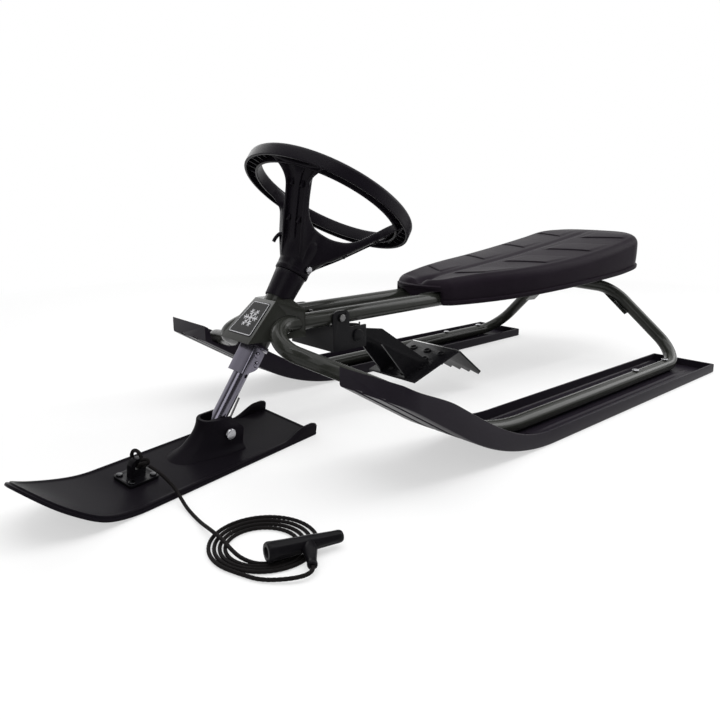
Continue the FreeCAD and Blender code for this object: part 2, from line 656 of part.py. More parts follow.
washer = body_of("thrust_washer")
washer_top = "head_tube_foot_w - bush_flange"
revolution(washer, [
    ("column_dia / 2 + rest_gap", washer_top + " - washer_thick"), ("bush_flange_dia / 2", washer_top + " - washer_thick"),
    ("bush_flange_dia / 2", washer_top + " - running_gap"), ("column_dia / 2 + rest_gap", washer_top + " - running_gap")])
node(washer, "thrust_washer", steered)

column = body_of("column_tube")
revolution(column, [
    ("column_dia / 2 - column_wall", "fork_head_w"), ("column_dia / 2", "fork_head_w"),
    ("column_dia / 2", "column_head_w"), ("column_dia / 2 - column_wall", "column_head_w")])
node(column, "column_tube", steered)

column_sleeve = body_of("column_sleeve")
sleeve_foot = "head_tube_head_w + bush_flange + washer_thick"
revolution(column_sleeve, [
    ("sleeve_foot_dia / 2 - sleeve_wall", sleeve_foot), ("sleeve_foot_dia / 2", sleeve_foot),
    ("sleeve_head_dia / 2", "hub_foot_w"), ("column_dia / 2 + rest_gap", "hub_foot_w"),
    ("column_dia / 2 + rest_gap", "hub_foot_w - sleeve_wall")])
node(column_sleeve, "column_sleeve", steered)

wheel = body_of("steering_wheel")
revolution(wheel, [
    ("wheel_dia / 2 - rim_depth", "rim_top_w - rim_height"), ("wheel_dia / 2 - rim_depth", "rim_top_w"),
    ("wheel_dia / 2", "rim_top_w"), ("wheel_dia / 2", "rim_top_w - rim_height"),
    ("wheel_dia / 2 - rim_skin", "rim_top_w - rim_height"), ("wheel_dia / 2 - rim_skin", "rim_top_w - rim_skin"),
    ("wheel_dia / 2 - rim_depth + rim_skin", "rim_top_w - rim_skin"),
    ("wheel_dia / 2 - rim_depth + rim_skin", "rim_top_w - rim_height")])
spoke_root = "column_dia / 2 + rim_skin"
spoke_end = "wheel_dia / 2 - rim_depth / 2"
spoke = pad(wheel, "XZ_Plane", [
    (spoke_root, "spoke_foot_w"), (spoke_end, "rim_top_w - rim_height + rim_skin"),
    (spoke_end, "rim_top_w - rim_skin / 2"), ("wheel_dia / 2 - rim_depth", "rim_top_w - rim_skin"),
    (spoke_root, "spoke_foot_w + spoke_depth + rim_skin")], "spoke_width", True)
spoke.Profile[0].AttachmentOffset = Placement(Vector(0, 0, 0), Rotation(Vector(0, 1, 0), s.spoke_turn))
spokes = wheel.newObject("PartDesign::PolarPattern", "steering_wheel_spokes")
spokes.Originals = [spoke]
spokes.Axis = (plane(wheel, "Z_Axis"), [""])
spokes.Angle = 360
spokes.Occurrences = 3
wheel.Tip = spokes
doc.recompute()
hub_bore = "column_dia / 2 + running_gap"
revolution(wheel, [
    (hub_bore, "hub_foot_w"), ("sleeve_head_dia / 2", "hub_foot_w"), ("hub_dia / 2", "spoke_foot_w"),
    ("hub_dia / 2", "hub_head_w"), ("0", "hub_head_w"), ("0", "hub_head_w - hub_cap"), (hub_bore, "hub_head_w - hub_cap")])
node(wheel, "steering_wheel", steered)

hub_screw_seat = s.sleeve_head_dia / 2 + s.rest_gap + (s.hub_dia - s.sleeve_head_dia) / 2
screw_from = Vector(0, hub_screw_seat, s.hub_screw_w)
screw_room = cylinder(screw_from + left * s.overrun, Vector(0, -hub_screw_seat - s.overrun, s.hub_screw_w),
                      s.hub_screw_dia / 2 + s.running_gap)
hub_screw = hex_bolt(screw_from, Vector(0, -hub_screw_seat, s.hub_screw_w),
                     s.hub_screw_dia, s.hub_screw_head, s.hub_screw_crown)
solid_node("hub_screw", hub_screw, steered)


def bored(label, source, room, place):
    # the sub-part made by an earlier body, with a room cut through it
    tool = doc.addObject("Part::Feature", label + "_room")
    tool.Shape = room
    tool.Placement = place
    cut = doc.addObject("Part::Cut", label + "_bored")
    cut.Base = source
    cut.Tool = tool
    nodes.remove(source)
    source.Label = label + "_plain"
    return node(cut, label)


bored("steering_wheel", wheel, screw_room, steered)
bored("column_tube", column, screw_room, steered)

fork_inner = "fork_tube_dia / 2 + rest_gap"
fork_outer = fork_inner + " + fork_sheet"
fork_front = "fork_tube_dia / 2 + fork_sheet"
fork_rear = fork_front + " - fork_depth"
fork = body_of("fork_bracket")
pad(fork, "XY_Plane", [
    (fork_rear, "0 - " + fork_outer.replace("+", "-")), (fork_front, "0 - " + fork_outer.replace("+", "-")),
    (fork_front, fork_outer), (fork_rear, fork_outer), (fork_rear, fork_inner),
    ("fork_tube_dia / 2", fork_inner), ("fork_tube_dia / 2", "0 - " + fork_inner.replace("+", "-")),
    (fork_rear, "0 - " + fork_inner.replace("+", "-"))], "fork_head_w - fork_foot_w")
fork_top = pad(fork, "XY_Plane", [
    (fork_rear, "0 - " + fork_outer.replace("+", "-")), (fork_front, "0 - " + fork_outer.replace("+", "-")),
    (fork_front, fork_outer), (fork_rear, fork_outer)], "fork_sheet")
fork_top.Profile[0].AttachmentOffset = Placement(Vector(0, 0, s.fork_head_w - s.fork_foot_w - s.fork_sheet), Rotation())
node(fork, "fork_bracket", steered * Placement(up * s.fork_foot_w, Rotation()))
doc.recompute()

fork_half = s.fork_tube_dia / 2 + s.rest_gap + s.fork_sheet
rivets = []
rivet_rooms = []
for w in (s.fork_rivet_low_w, s.fork_rivet_high_w):
    start = Vector(0, fork_half, w)
    end = Vector(0, -fork_half, w)
    rivet = hex_bolt(start, end, s.fork_rivet_dia, s.fork_rivet_head, s.fork_rivet_crown)
    rivets.append(rivet.fuse(cylinder(end, end - left * s.fork_rivet_crown, s.fork_rivet_head / 2)).removeSplitter())
    rivet_rooms.append(cylinder(start + left * s.overrun, end - left * s.overrun,
                                s.fork_rivet_dia / 2 + s.running_gap))
solid_node("fork_rivets", Part.makeCompound(rivets), steered)
bored("fork_bracket", fork, rivet_rooms[0].fuse(rivet_rooms[1]), steered)

fork_tube = cylinder(up * -s.fork_tube_foot, up * (s.fork_head_w - s.fork_sheet - s.rest_gap), s.fork_tube_dia / 2)
fork_tube = fork_tube.cut(cylinder(up * -(s.fork_tube_foot + s.overrun), up * s.fork_head_w,
                                   s.fork_tube_dia / 2 - s.fork_tube_wall))
pivot_room = cylinder(left * (s.tower_near + s.overrun), left * -(s.tower_far + s.overrun),
                      s.ski_bolt_dia / 2 + s.running_gap)
fork_tube = fork_tube.cut([pivot_room] + rivet_rooms)
solid_node("fork_tube", fork_tube, steered)

coil_r = s.ski_coil_dia / 2
quarter = math.pi / 2


def spring_path(middle, radius, turns, start_y, pitch, legs, start_angle):
    # turns about an axis along Y, wound downward from the rear, with a straight leg at each end
    places = []
    ways = []
    for i in range(turns * 4 + 1):
        angle = start_angle - i * quarter
        places.append(middle + Vector(radius * math.cos(angle), start_y + pitch * i / 4, radius * math.sin(angle)))
        way = Vector(radius * math.sin(angle), pitch / (2 * math.pi), -radius * math.cos(angle))
        ways.append(way.normalize())
    edges = wound_path(places, ways)
    first = Part.LineSegment(places[0] - ways[0] * legs[0], places[0]).toShape()
    last = Part.LineSegment(places[-1], places[-1] + ways[-1] * legs[1]).toShape()
    return Part.Wire([first] + edges + [last])


ski_spring_pitch = s.ski_wire + 2 * s.rest_gap
ski_spring_start = s.fork_tube_dia / 2 + s.ski_wire / 2 + s.rest_gap
ski_spring_path = spring_path(Vector(0, 0, 0), coil_r, ski_coil_turns,
                              ski_spring_start + ski_coil_turns * ski_spring_pitch, -ski_spring_pitch,
                              (s.ski_wire_leg / 4, s.ski_wire_leg), math.pi)
report_wound("ski spring", ski_spring_path, s.ski_wire)
solid_node("ski_spring", swept(ski_spring_path, s.ski_wire / 2), steered)


# Ski

def ski_line(offset, rear_x, front_x):
    # line at a height over the underside: flat, then one arc up to the tip
    run = s.ski_tip - s.ski_flat
    radius = (run ** 2 + s.ski_tip_rise ** 2) / (2 * s.ski_tip_rise) - offset
    low = -ski_rise + offset
    flat = Vector(s.ski_flat, 0, low)
    arc_end = math.asin((front_x - s.ski_flat) / radius)
    points = [Vector(s.ski_flat + radius * math.sin(a), 0, low + radius * (1 - math.cos(a)))
              for a in (arc_end / 2, arc_end)]
    rear = Vector(rear_x, 0, low)
    return [Part.LineSegment(rear, flat).toShape(), Part.Arc(flat, points[0], points[1]).toShape()], rear, points[1]


def ski_slab(low, high, rear_x, front_x, width):
    below, low_rear, low_tip = ski_line(low, rear_x, front_x)
    above, high_rear, high_tip = ski_line(high, rear_x, front_x)
    ends = [Part.LineSegment(low_rear, high_rear).toShape(), Part.LineSegment(low_tip, high_tip).toShape()]
    return side_view(below + above + ends, -width / 2, width)


def ski_outline(inset):
    # plan of the ski: square tail and a tip with large round corners
    half = s.ski_width / 2 - inset
    rear = -s.ski_tail + inset
    tip = s.ski_tip - inset
    side = tip - s.ski_tip_radius * 1.7
    bulge = Vector(tip - s.ski_tip_radius * 0.42, half * 0.72, 0)
    other = Vector(bulge.x, -bulge.y, 0)
    edges = [Part.LineSegment(Vector(rear, -half, 0), Vector(rear, half, 0)).toShape(),
             Part.LineSegment(Vector(rear, half, 0), Vector(side, half, 0)).toShape(),
             Part.Arc(Vector(side, half, 0), bulge, Vector(tip, 0, 0)).toShape(),
             Part.Arc(Vector(tip, 0, 0), other, Vector(side, -half, 0)).toShape(),
             Part.LineSegment(Vector(side, -half, 0), Vector(rear, -half, 0)).toShape()]
    face = Part.Face(Part.Wire(edges))
    face.translate(up * -(ski_rise + s.overrun))
    return face.extrude(up * (ski_rise + s.ski_tip_rise + 4 * s.overrun))


ski = ski_slab(0, s.ski_rim, -s.ski_tail, s.ski_tip, s.ski_width).common(ski_outline(0))
trough = ski_slab(s.ski_floor, s.ski_rim + s.overrun, -s.ski_tail - s.overrun, s.ski_tip, s.ski_width)
ski = ski.cut(trough.common(ski_outline(s.ski_rim_width)))
for side in (1, -1):
    ear_y = side * (s.ski_width / 2) - (s.ear_thick if side > 0 else 0)
    ear = Part.makeBox(s.ear_length, s.ear_thick, s.ear_height)
    ear = ear.makeFillet(s.ear_thick / 2, [e for e in ear.Edges if e.CenterOfMass.z > s.ear_height * 0.9
                                           and abs(e.CenterOfMass.y - s.ear_thick / 2) < s.ear_thick / 4])
    ear.translate(Vector(-s.ski_tail, ear_y, -ski_rise))
    ski = ski.fuse(ear)
ski.translate(left * s.ski_aside)
floor_z = -ski_rise + s.ski_floor / 2
ramp_end = Vector(s.tower_front, 0, s.tower_top)
ramp_start = Vector(s.tower_ramp, 0, floor_z)
ramp_middle = Vector(s.tower_front + (s.tower_ramp - s.tower_front) * 0.3, 0, floor_z + (s.tower_top - floor_z) * 0.36)
rear_top = Vector(-s.tower_rear * 0.5, 0, s.tower_top)
rear_middle = Vector(-s.tower_rear, 0, 0)
rear_foot = Vector(-s.tower_rear, 0, floor_z)
tower_edges = [Part.Arc(ramp_start, ramp_middle, ramp_end).toShape(),
               Part.LineSegment(ramp_end, rear_top).toShape(), Part.LineSegment(rear_top, rear_middle).toShape(),
               Part.LineSegment(rear_middle, rear_foot).toShape(), Part.LineSegment(rear_foot, ramp_start).toShape()]
tower = side_view(tower_edges, -s.tower_far, s.tower_far + s.tower_near)
slot_half = s.fork_tube_dia / 2 + s.rest_gap
slot = Part.makeBox(s.tower_slot_front + s.tower_rear + s.overrun, slot_half + s.tower_near - s.runner_wall,
                    ski_rise + s.tower_top + s.overrun - s.ski_floor)
slot.translate(Vector(-s.tower_rear - s.overrun, -slot_half, -ski_rise + s.ski_floor))
ski = ski.fuse(tower.cut(slot)).cut(pivot_room)
eyelet_at = Vector(s.eyelet_ahead, s.eyelet_aside, -ski_rise + s.ski_floor)
screw_places = [eyelet_at + Vector(i * s.eyelet_base_length * 0.36, j * s.eyelet_base_width * 0.34, 0)
                for i in (1, -1) for j in (1, -1)]
for place in screw_places:
    ski = ski.cut(cylinder(place - up * (s.ski_floor + s.overrun), place + up * s.overrun,
                           s.eyelet_screw_dia / 2 + s.running_gap))
solid_node("ski", ski.removeSplitter(), turned_ski)

ski_bolt = hex_bolt(left * s.tower_near, left * -(s.tower_far + s.ski_bolt_crown + s.runner_wall),
                    s.ski_bolt_dia, s.ski_bolt_head, s.ski_bolt_crown)
solid_node("ski_pivot_bolt", ski_bolt, turned_ski)
nut = cylinder(left * -s.tower_far, left * -(s.tower_far + s.ski_bolt_crown), s.ski_bolt_head / 2)
nut = nut.cut(cylinder(left * -(s.tower_far - s.overrun), left * -(s.tower_far + s.ski_bolt_crown + s.overrun),
                       s.ski_bolt_dia / 2 + s.running_gap))
solid_node("ski_pivot_nut", nut, turned_ski)


# Rope eyelet and its screws

base = Part.makeBox(s.eyelet_base_length, s.eyelet_base_width, s.eyelet_base_thick)
base.translate(eyelet_at - Vector(s.eyelet_base_length / 2, s.eyelet_base_width / 2, 0))
base = base.makeFillet(s.eyelet_base_thick, [e for e in base.Edges if abs(e.tangentAt(e.FirstParameter).z) > 0.9])
post = Part.makeBox(s.eyelet_post_length, s.eyelet_post_width, s.eyelet_post_height)
post = post.makeFillet(s.eyelet_post_length * 0.45, [e for e in post.Edges if e.CenterOfMass.z > s.eyelet_post_height * 0.9
                                                     and abs(e.tangentAt(e.FirstParameter).y) > 0.9])
post.translate(eyelet_at - Vector(s.eyelet_post_length / 2, s.eyelet_post_width / 2, 0))
hole_at = eyelet_at + up * (s.eyelet_post_height - s.eyelet_post_length / 2)
eyelet = base.fuse(post).cut(cylinder(hole_at - left * s.eyelet_post_width, hole_at + left * s.eyelet_post_width,
                                      s.eyelet_hole_dia / 2))
screws = []
for place in screw_places:
    seat = place + up * s.eyelet_base_thick
    eyelet = eyelet.cut(cylinder(place - up * s.overrun, seat + up * s.overrun, s.eyelet_screw_dia / 2 + s.running_gap))
    screws.append(hex_bolt(seat, place - up * (s.ski_floor * 0.8), s.eyelet_screw_dia,
                           s.eyelet_screw_head, s.eyelet_screw_crown))
eyelet = eyelet.cut(ski_slab(0, s.ski_floor, -s.ski_tail, s.ski_tip, s.ski_width))
solid_node("rope_eyelet", eyelet, turned_ski)
solid_node("eyelet_screws", Part.makeCompound(screws), turned_ski)


# Brake

plate_in = gauge_y + tube_r + s.rest_gap
plate_out = plate_in + s.brake_sheet
bracket = Part.makeBox(s.brake_sheet, 2 * plate_out, s.upper_tube_z - tube_r - s.rest_gap - brake_side_foot_z)
bracket.translate(Vector(s.brake_side_front_x - s.brake_sheet, -plate_out, brake_side_foot_z))
for side in (1, -1):
    cheek = Part.makeBox(s.brake_side_front_x - s.brake_side_rear_x, s.brake_sheet,
                         brake_side_top_z - brake_side_foot_z)
    cheek.translate(Vector(s.brake_side_rear_x, plate_in if side > 0 else -plate_out, brake_side_foot_z))
    corner = Part.makeBox(s.brake_tab_rear_x - s.brake_side_rear_x + s.overrun, s.brake_sheet + 2 * s.overrun,
                          brake_side_top_z - brake_tab_foot_z + s.overrun)
    corner.translate(Vector(s.brake_side_rear_x - s.overrun, (plate_in if side > 0 else -plate_out) - s.overrun,
                            brake_tab_foot_z))
    bracket = bracket.fuse(cheek.cut(corner))
pin_at = Vector(s.brake_pivot_x, 0, brake_pivot_z)
pin_room = cylinder(pin_at - left * (plate_out + s.overrun), pin_at + left * (plate_out + s.overrun),
                    s.brake_pin_dia / 2 + s.running_gap)
brake_bolts = []
tube_bolt_rooms = []
for side in (1, -1):
    start = Vector(s.brake_bolt_x, side * plate_out, s.upper_tube_z)
    end = Vector(s.brake_bolt_x, side * (gauge_y - tube_r - s.brake_bolt_crown), s.upper_tube_z)
    brake_bolts.append(hex_bolt(start, end, s.brake_bolt_dia, s.brake_bolt_head, s.brake_bolt_crown))
    tube_bolt_rooms.append(cylinder(start + left * (side * s.overrun), end - left * (side * s.overrun),
                                    s.brake_bolt_dia / 2 + s.running_gap))
bracket = bracket.removeSplitter().cut([pin_room] + tube_bolt_rooms)
solid_node("brake_bracket", bracket, ground)
solid_node("brake_bolts", Part.makeCompound(brake_bolts), ground)
pin = hex_bolt(pin_at + left * plate_out, pin_at - left * (plate_out + s.brake_sheet),
               s.brake_pin_dia, s.barrel_dia, s.brake_sheet)
solid_node("brake_pivot_pin", pin, ground)

arm_out = plate_in - s.arm_room
ridge = Vector(s.ridge_x, 0, s.ridge_z)
front = Vector(s.tread_front_x, 0, s.tread_front_z)
foot = Vector(s.claw_foot_x, 0, s.claw_foot_z)
tread_way = (front - ridge).normalize()
tread_up = left.cross(tread_way).normalize()
if tread_up.z < 0:
    tread_up = tread_up * -1
half_tread = left * (s.tread_width / 2)
tread_corners = [ridge - half_tread, front - half_tread, front + half_tread, ridge + half_tread]
tread = Part.Face(Part.makePolygon(tread_corners + tread_corners[:1])).extrude(tread_up * -s.brake_sheet)
claw_way = (foot - ridge).normalize()
claw_in = left.cross(claw_way).normalize()
if claw_in.x < 0:
    claw_in = claw_in * -1
claw_length = (foot - ridge).Length
tooth = s.tread_width / claw_tooth_count
claw_corners = [ridge - half_tread]
for i in range(claw_tooth_count):
    side_y = -s.tread_width / 2 + i * tooth
    claw_corners.append(ridge + claw_way * (claw_length - s.tooth_height) + left * side_y)
    claw_corners.append(ridge + claw_way * claw_length + left * (side_y + tooth / 2))
claw_corners.append(ridge + claw_way * (claw_length - s.tooth_height) + half_tread)
claw_corners.append(ridge + half_tread)
claw = Part.Face(Part.makePolygon(claw_corners + claw_corners[:1])).extrude(claw_in * s.brake_sheet)
lever = tread.fuse(claw)
tread_length = (front - ridge).Length
hole_row_shares = (0.2, 0.42, 0.64, 0.86)
for row, along_share in enumerate(hole_row_shares):
    stagger = 0.5 if row % 2 else 0
    for column_number in range(3 - row % 2):
        across = (column_number - 1 + stagger) * s.tread_width * 0.3
        place = ridge + tread_way * (along_share * tread_length) + left * across
        lever = lever.fuse(cylinder(place - tread_up * (s.brake_sheet / 2), place + tread_up * s.tread_hole_rise,
                                    s.tread_hole_dia / 2 + s.tread_hole_rim))
        lever = lever.cut(cylinder(place - tread_up * (s.brake_sheet + s.overrun), place + tread_up * s.overrun,
                                   s.tread_hole_dia / 2))
barrel_half = left * arm_out
lever = lever.fuse(cylinder(pin_at - barrel_half, pin_at + barrel_half, s.barrel_dia / 2))
arm_low = ridge + tread_way * (0.95 * tread_length) - tread_up * (s.brake_sheet / 2)
arm_back = ridge + tread_way * (0.45 * tread_length) - tread_up * (s.brake_sheet / 2)
arm_knee = Vector(s.tread_front_x + 0.42 * (s.brake_pivot_x - s.tread_front_x), 0, brake_pivot_z - s.barrel_dia * 0.2)
arm_knee_low = arm_knee - up * (s.barrel_dia * 1.4)
pin_top = pin_at + up * (s.barrel_dia * 0.44)
pin_low = pin_at - up * (s.barrel_dia * 0.44)
arm_corners = [pin_top, arm_knee, arm_back, arm_low, arm_knee_low, pin_low]
arm_face = Part.Face(Part.makePolygon(arm_corners + arm_corners[:1]))
for side in (1, -1):
    arm = arm_face.extrude(left * (-side * s.arm_thick))
    arm.translate(left * (side * arm_out))
    lever = lever.fuse(arm)
lever = lever.cut(pin_room)
solid_node("brake_lever", lever, ground)

brake_spring_pitch = s.brake_wire + 2 * s.rest_gap
brake_spring_start = arm_out + s.brake_wire / 2 + 4 * s.rest_gap
brake_wire_leg = s.upper_tube_z - tube_r - brake_pivot_z - s.rest_gap
brake_path = spring_path(pin_at, s.brake_coil_dia / 2, brake_coil_turns, brake_spring_start, brake_spring_pitch,
                         (brake_wire_leg * 0.7, brake_wire_leg), math.pi)
report_wound("brake spring", brake_path, s.brake_wire)
solid_node("brake_spring", swept(brake_path, s.brake_wire / 2), ground)

for side_name, room in zip(("left", "right"), tube_bolt_rooms):
    plain = [n for n in nodes if n.Label == "frame_tube_" + side_name][0]
    bolt_rooms = [room] + [cylinder(Vector(share * s.tip_x, side * runner_y, -s.overrun),
                                    Vector(share * s.tip_x, side * runner_y, tube_lie + s.tube_dia),
                                    s.runner_bolt_dia / 2 + s.running_gap)
                           for share in runner_bolt_shares for side in (1, -1)]
    bored("frame_tube_" + side_name, plain, Part.makeCompound(bolt_rooms), ground)
for side_name, side in (("left", 1), ("right", -1)):
    plain = [n for n in nodes if n.Label == "runner_" + side_name][0]
    bolt_rooms = [cylinder(Vector(share * s.tip_x, side * runner_y, -s.overrun),
                           Vector(share * s.tip_x, side * runner_y, tube_lie),
                           s.runner_bolt_dia / 2 + s.running_gap) for share in runner_bolt_shares]
    bored("runner_" + side_name, plain, Part.makeCompound(bolt_rooms), ground)


# Seat

seat_station_shares = (0.0, 0.03, 0.09, 0.21, 0.37, 0.57, 0.73, 0.87, 0.96, 1.0)
seat_half_width_shares = (0.33, 0.4, 0.46, 0.5, 0.5, 0.465, 0.405, 0.31, 0.235, 0.185)
# heights over the upper tubes' axis, as shares of the seat's width
seat_top_shares = (0.326, 0.339, 0.324, 0.289, 0.254, 0.207, 0.172, 0.146, 0.12, 0.1)
seat_rim_shares = (0.09, 0.078, 0.064, 0.034, 0.01, -0.014, -0.03, -0.038, -0.036, -0.032)
seat_crown_share = 0.012


def seat_stations():
    for along, half, top, rim in zip(seat_station_shares, seat_half_width_shares, seat_top_shares, seat_rim_shares):
        yield (s.seat_rear_x + along * s.seat_length, half * s.seat_width,
               s.upper_tube_z + top * s.seat_width, s.upper_tube_z + rim * s.seat_width)


pad_sections = []
pan_sections = []
for x, half, top, rim in seat_stations():
    low = rim + s.pan_lip + s.rest_gap
    crown = seat_crown_share * s.seat_width * half / (s.seat_width / 2)
    shoulder = top - crown
    tall = shoulder - low
    right_low = Vector(x, -half * 0.95, low)
    left_low = Vector(x, half * 0.95, low)
    left_wide = Vector(x, half, low + tall * 0.45)
    left_top = Vector(x, half * 0.86, shoulder)
    right_top = Vector(x, -half * 0.86, shoulder)
    right_wide = Vector(x, -half, low + tall * 0.45)
    pad_sections.append(Part.Wire([
        Part.LineSegment(right_low, left_low).toShape(), Part.Arc(left_low, left_wide, left_top).toShape(),
        Part.Arc(left_top, Vector(x, 0, top), right_top).toShape(),
        Part.Arc(right_top, right_wide, right_low).toShape()]))
    lip = half * 0.95 + s.pan_proud
    corners = [Vector(x, -lip, rim), Vector(x, lip, rim), Vector(x, lip, rim + s.pan_lip), Vector(x, -lip, rim + s.pan_lip)]
    pan_sections.append(Part.makePolygon(corners + corners[:1]))
seat_pad = Part.makeLoft(pad_sections, True, False)
seat_pan = Part.makeLoft(pan_sections, True, False)


def seat_height(x):
    # top of the pad's middle at a place along the seat, between its stations
    tops = [(station[0], station[2]) for station in seat_stations()]
    for (x0, z0), (x1, z1) in zip(tops, tops[1:]):
        if x0 <= x <= x1:
            return z0 + (z1 - z0) * (x - x0) / (x1 - x0)


def groove(start, end):
    lift = up * (s.seat_groove_dia / 2 - s.seat_groove_depth)
    return cylinder(start + lift, end + lift, s.seat_groove_dia / 2)


grooves = []
channel_shares = (0.12, 0.37, 0.57, 0.87)
channel_xs = [s.seat_rear_x + share * s.seat_length for share in channel_shares]
for x0, x1 in zip(channel_xs, channel_xs[1:]):
    grooves.append(groove(Vector(x0, 0, seat_height(x0)), Vector(x1, 0, seat_height(x1))))
chevron_root_shares = (0.2, 0.36, 0.52, 0.68)
chevron_reach_share = 0.12
for root in chevron_root_shares:
    root_x = s.seat_rear_x + root * s.seat_length
    end_x = root_x + chevron_reach_share * s.seat_length
    end_y = 0.3 * s.seat_width
    for side in (1, -1):
        grooves.append(groove(Vector(root_x, side * 0.06 * s.seat_width, seat_height(root_x)),
                              Vector(end_x, side * end_y, seat_height(end_x) - seat_crown_share * s.seat_width * 0.25)))
seat_pad = seat_pad.cut(grooves)

seat_bolts = []
seat_bolt_rooms = []
for bolt_x in (s.strap_x, s.seat_bolt_x):
    for side in (1, -1):
        place = Vector(bolt_x, side * gauge_y, s.upper_tube_z)
        start = place - up * tube_r
        if bolt_x == s.strap_x:
            start = start - up * (s.strap_thick + s.rest_gap)
        end = place + up * (tube_r + s.seat_bolt_reach)
        seat_bolts.append(hex_bolt(start, end, s.seat_bolt_dia, s.seat_bolt_head, s.seat_bolt_crown))
        seat_bolt_rooms.append(cylinder(start - up * s.overrun, end + up * s.rest_gap,
                                        s.seat_bolt_dia / 2 + s.running_gap))
solid_node("seat_pad", seat_pad.cut(both_rooms + seat_bolt_rooms), ground)
solid_node("seat_pan", seat_pan.cut(both_rooms + seat_bolt_rooms), ground)
solid_node("seat_bolts", Part.makeCompound(seat_bolts), ground)
for side_name in ("left", "right"):
    plain = [n for n in nodes if n.Label == "frame_tube_" + side_name][0]
    bored("frame_tube_" + side_name, plain, Part.makeCompound(seat_bolt_rooms), ground)

strap_half = gauge_y + s.strap_over
strap = Part.makeBox(s.strap_width, 2 * strap_half, s.strap_thick)
strap.translate(Vector(s.strap_x - s.strap_width / 2, -strap_half,
                       s.upper_tube_z - tube_r - s.rest_gap - s.strap_thick))
solid_node("seat_cross_strap", strap.cut(seat_bolt_rooms), ground)

knee = tube_points[2]
heel = tube_points[3]
leg_way = (heel - knee).normalize()
leg_strap_share = 0.02
leg_down = (leg_way.cross(up)).cross(leg_way).normalize() * -1
if leg_down.z > 0:
    leg_down = leg_down * -1
leg_side = leg_way.cross(leg_down).normalize()
leg_middle = knee + (heel - knee) * leg_strap_share + leg_down * (tube_r + s.rest_gap)
leg_strap_corners = []
for i, j in ((-1, -1), (1, -1), (1, 1), (-1, 1)):
    leg_strap_corners.append(leg_middle + leg_way * (i * s.leg_strap_length / 2) + leg_side * (j * s.leg_strap_width / 2))
leg_strap = Part.Face(Part.makePolygon(leg_strap_corners + leg_strap_corners[:1])).extrude(leg_down * s.strap_thick)
leg_strap_left = solid_node("leg_strap_left", leg_strap.cut(both_rooms), ground)
mirrored_node("leg_strap_right", leg_strap_left)


# Tow rope: a free stretch from the eyelet over the ski's edge, loose loops on the floor and the handle

cord_r = s.cord_dia / 2
gather = math.radians(40)
coil_middle = Vector(s.coil_x, s.coil_y, 0)


def coil_point(angle):
    # loops that gather on one side; the inner end comes down from its run over the outer loops
    loop = angle / (2 * math.pi)
    radius = s.coil_inner + s.coil_growth * loop
    radius += (s.coil_shift - s.coil_unshift * loop) * math.cos(angle - gather)
    lift = s.coil_over * (0.5 + 0.5 * math.cos(math.pi * min(1, angle / (0.55 * quarter))))
    return coil_middle + Vector(radius * math.cos(angle), radius * math.sin(angle), cord_r + lift)


def coil_way(angle):
    step = math.radians(0.5)
    return (coil_point(angle + step) - coil_point(max(0, angle - step))).normalize()


coil_end_angle = 2 * math.pi * coil_loops + math.radians(30)
coil_steps = 6 * coil_loops + 1
coil_angles = [coil_end_angle * i / coil_steps for i in range(coil_steps + 1)]
coil_places = [coil_point(angle) for angle in coil_angles]
coil_ways = [coil_way(angle) for angle in coil_angles]

# handle across the gathered loops, wide end to the nose, level along its underside
handle_way_shares = (-0.974, 0.226)
handle_way = Vector(*handle_way_shares, 0).normalize()
lie = s.cord_dia + s.rest_gap
wide_end = Vector(s.handle_x, s.handle_y, lie + s.handle_dia / 2)
thin_end = Vector(s.handle_x, s.handle_y, lie + s.handle_end_dia / 2) + handle_way * s.handle_length
boss_root = wide_end + (thin_end - wide_end) * 0.54
boss_way_shares = (0.5, 0.82, -0.15)
boss_way = Vector(*boss_way_shares).normalize()
boss_end = boss_root + boss_way * s.boss_length
grip = Part.makeCone(s.handle_dia / 2, s.handle_end_dia / 2, (thin_end - wide_end).Length, wide_end, thin_end - wide_end)
boss = Part.makeCone(s.boss_dia / 2, s.boss_end_dia / 2, s.boss_length, boss_root, boss_way)
hollow = cylinder(wide_end - handle_way * s.overrun, wide_end + handle_way * s.handle_bore_depth, s.handle_bore / 2)
solid_node("rope_handle", grip.fuse(boss).cut(hollow), ground)

# the outer loop runs on to the boss
cord_end = boss_end + boss_way * s.rest_gap
out_places = [coil_places[-1] + Vector(-0.11, 0.27, 0) * s.route_span, cord_end]
out_ways = [Vector(-0.7, 0.71, 0).normalize(), boss_way * -1]
coil_path = Part.Wire(wound_path(coil_places + out_places, coil_ways + out_ways))
report_wound("tow coil", coil_path, s.cord_dia)
tow_coil = swept(coil_path, cord_r)
report_tube("tow coil", tow_coil, coil_path, cord_r)
solid_node("tow_coil", tow_coil, ground)

in_frame = Placement(Vector(s.origin_from_rear, 0, 0), Rotation()) * turned_ski
loop_at = hole_at + up * s.loop_radius
knot_at = loop_at + left * (s.loop_radius + s.knot_dia * 0.35)
rope_loop = Part.makeTorus(s.loop_radius, cord_r, loop_at, ahead)
solid_node("rope_knot", rope_loop.fuse(Part.makeSphere(s.knot_dia / 2, knot_at)), turned_ski)
over_edge = in_frame.multVec(Vector(s.edge_ahead, s.ski_aside + s.ski_width / 2 - s.ski_rim_width,
                                    -ski_rise + s.ski_rim + cord_r + 2 * s.rest_gap))
coil_start = coil_places[0]
route_shares = ((0.025, 0.2, -0.035), (0.05, 0.39, -0.1))
knot_place = in_frame.multVec(knot_at)
over_ski = knot_place + (over_edge - knot_place) * 0.5 + up * s.knot_dia * 0.35
knot_way = (over_ski - knot_place).normalize()
cord_route = [knot_place + knot_way * (s.knot_dia / 2 + s.rest_gap), over_ski, over_edge]
for share in route_shares:
    cord_route.append(over_edge + Vector(*share) * s.route_span)
back_shares = ((-0.094, -0.78, None), (-0.05, -0.52, 1))
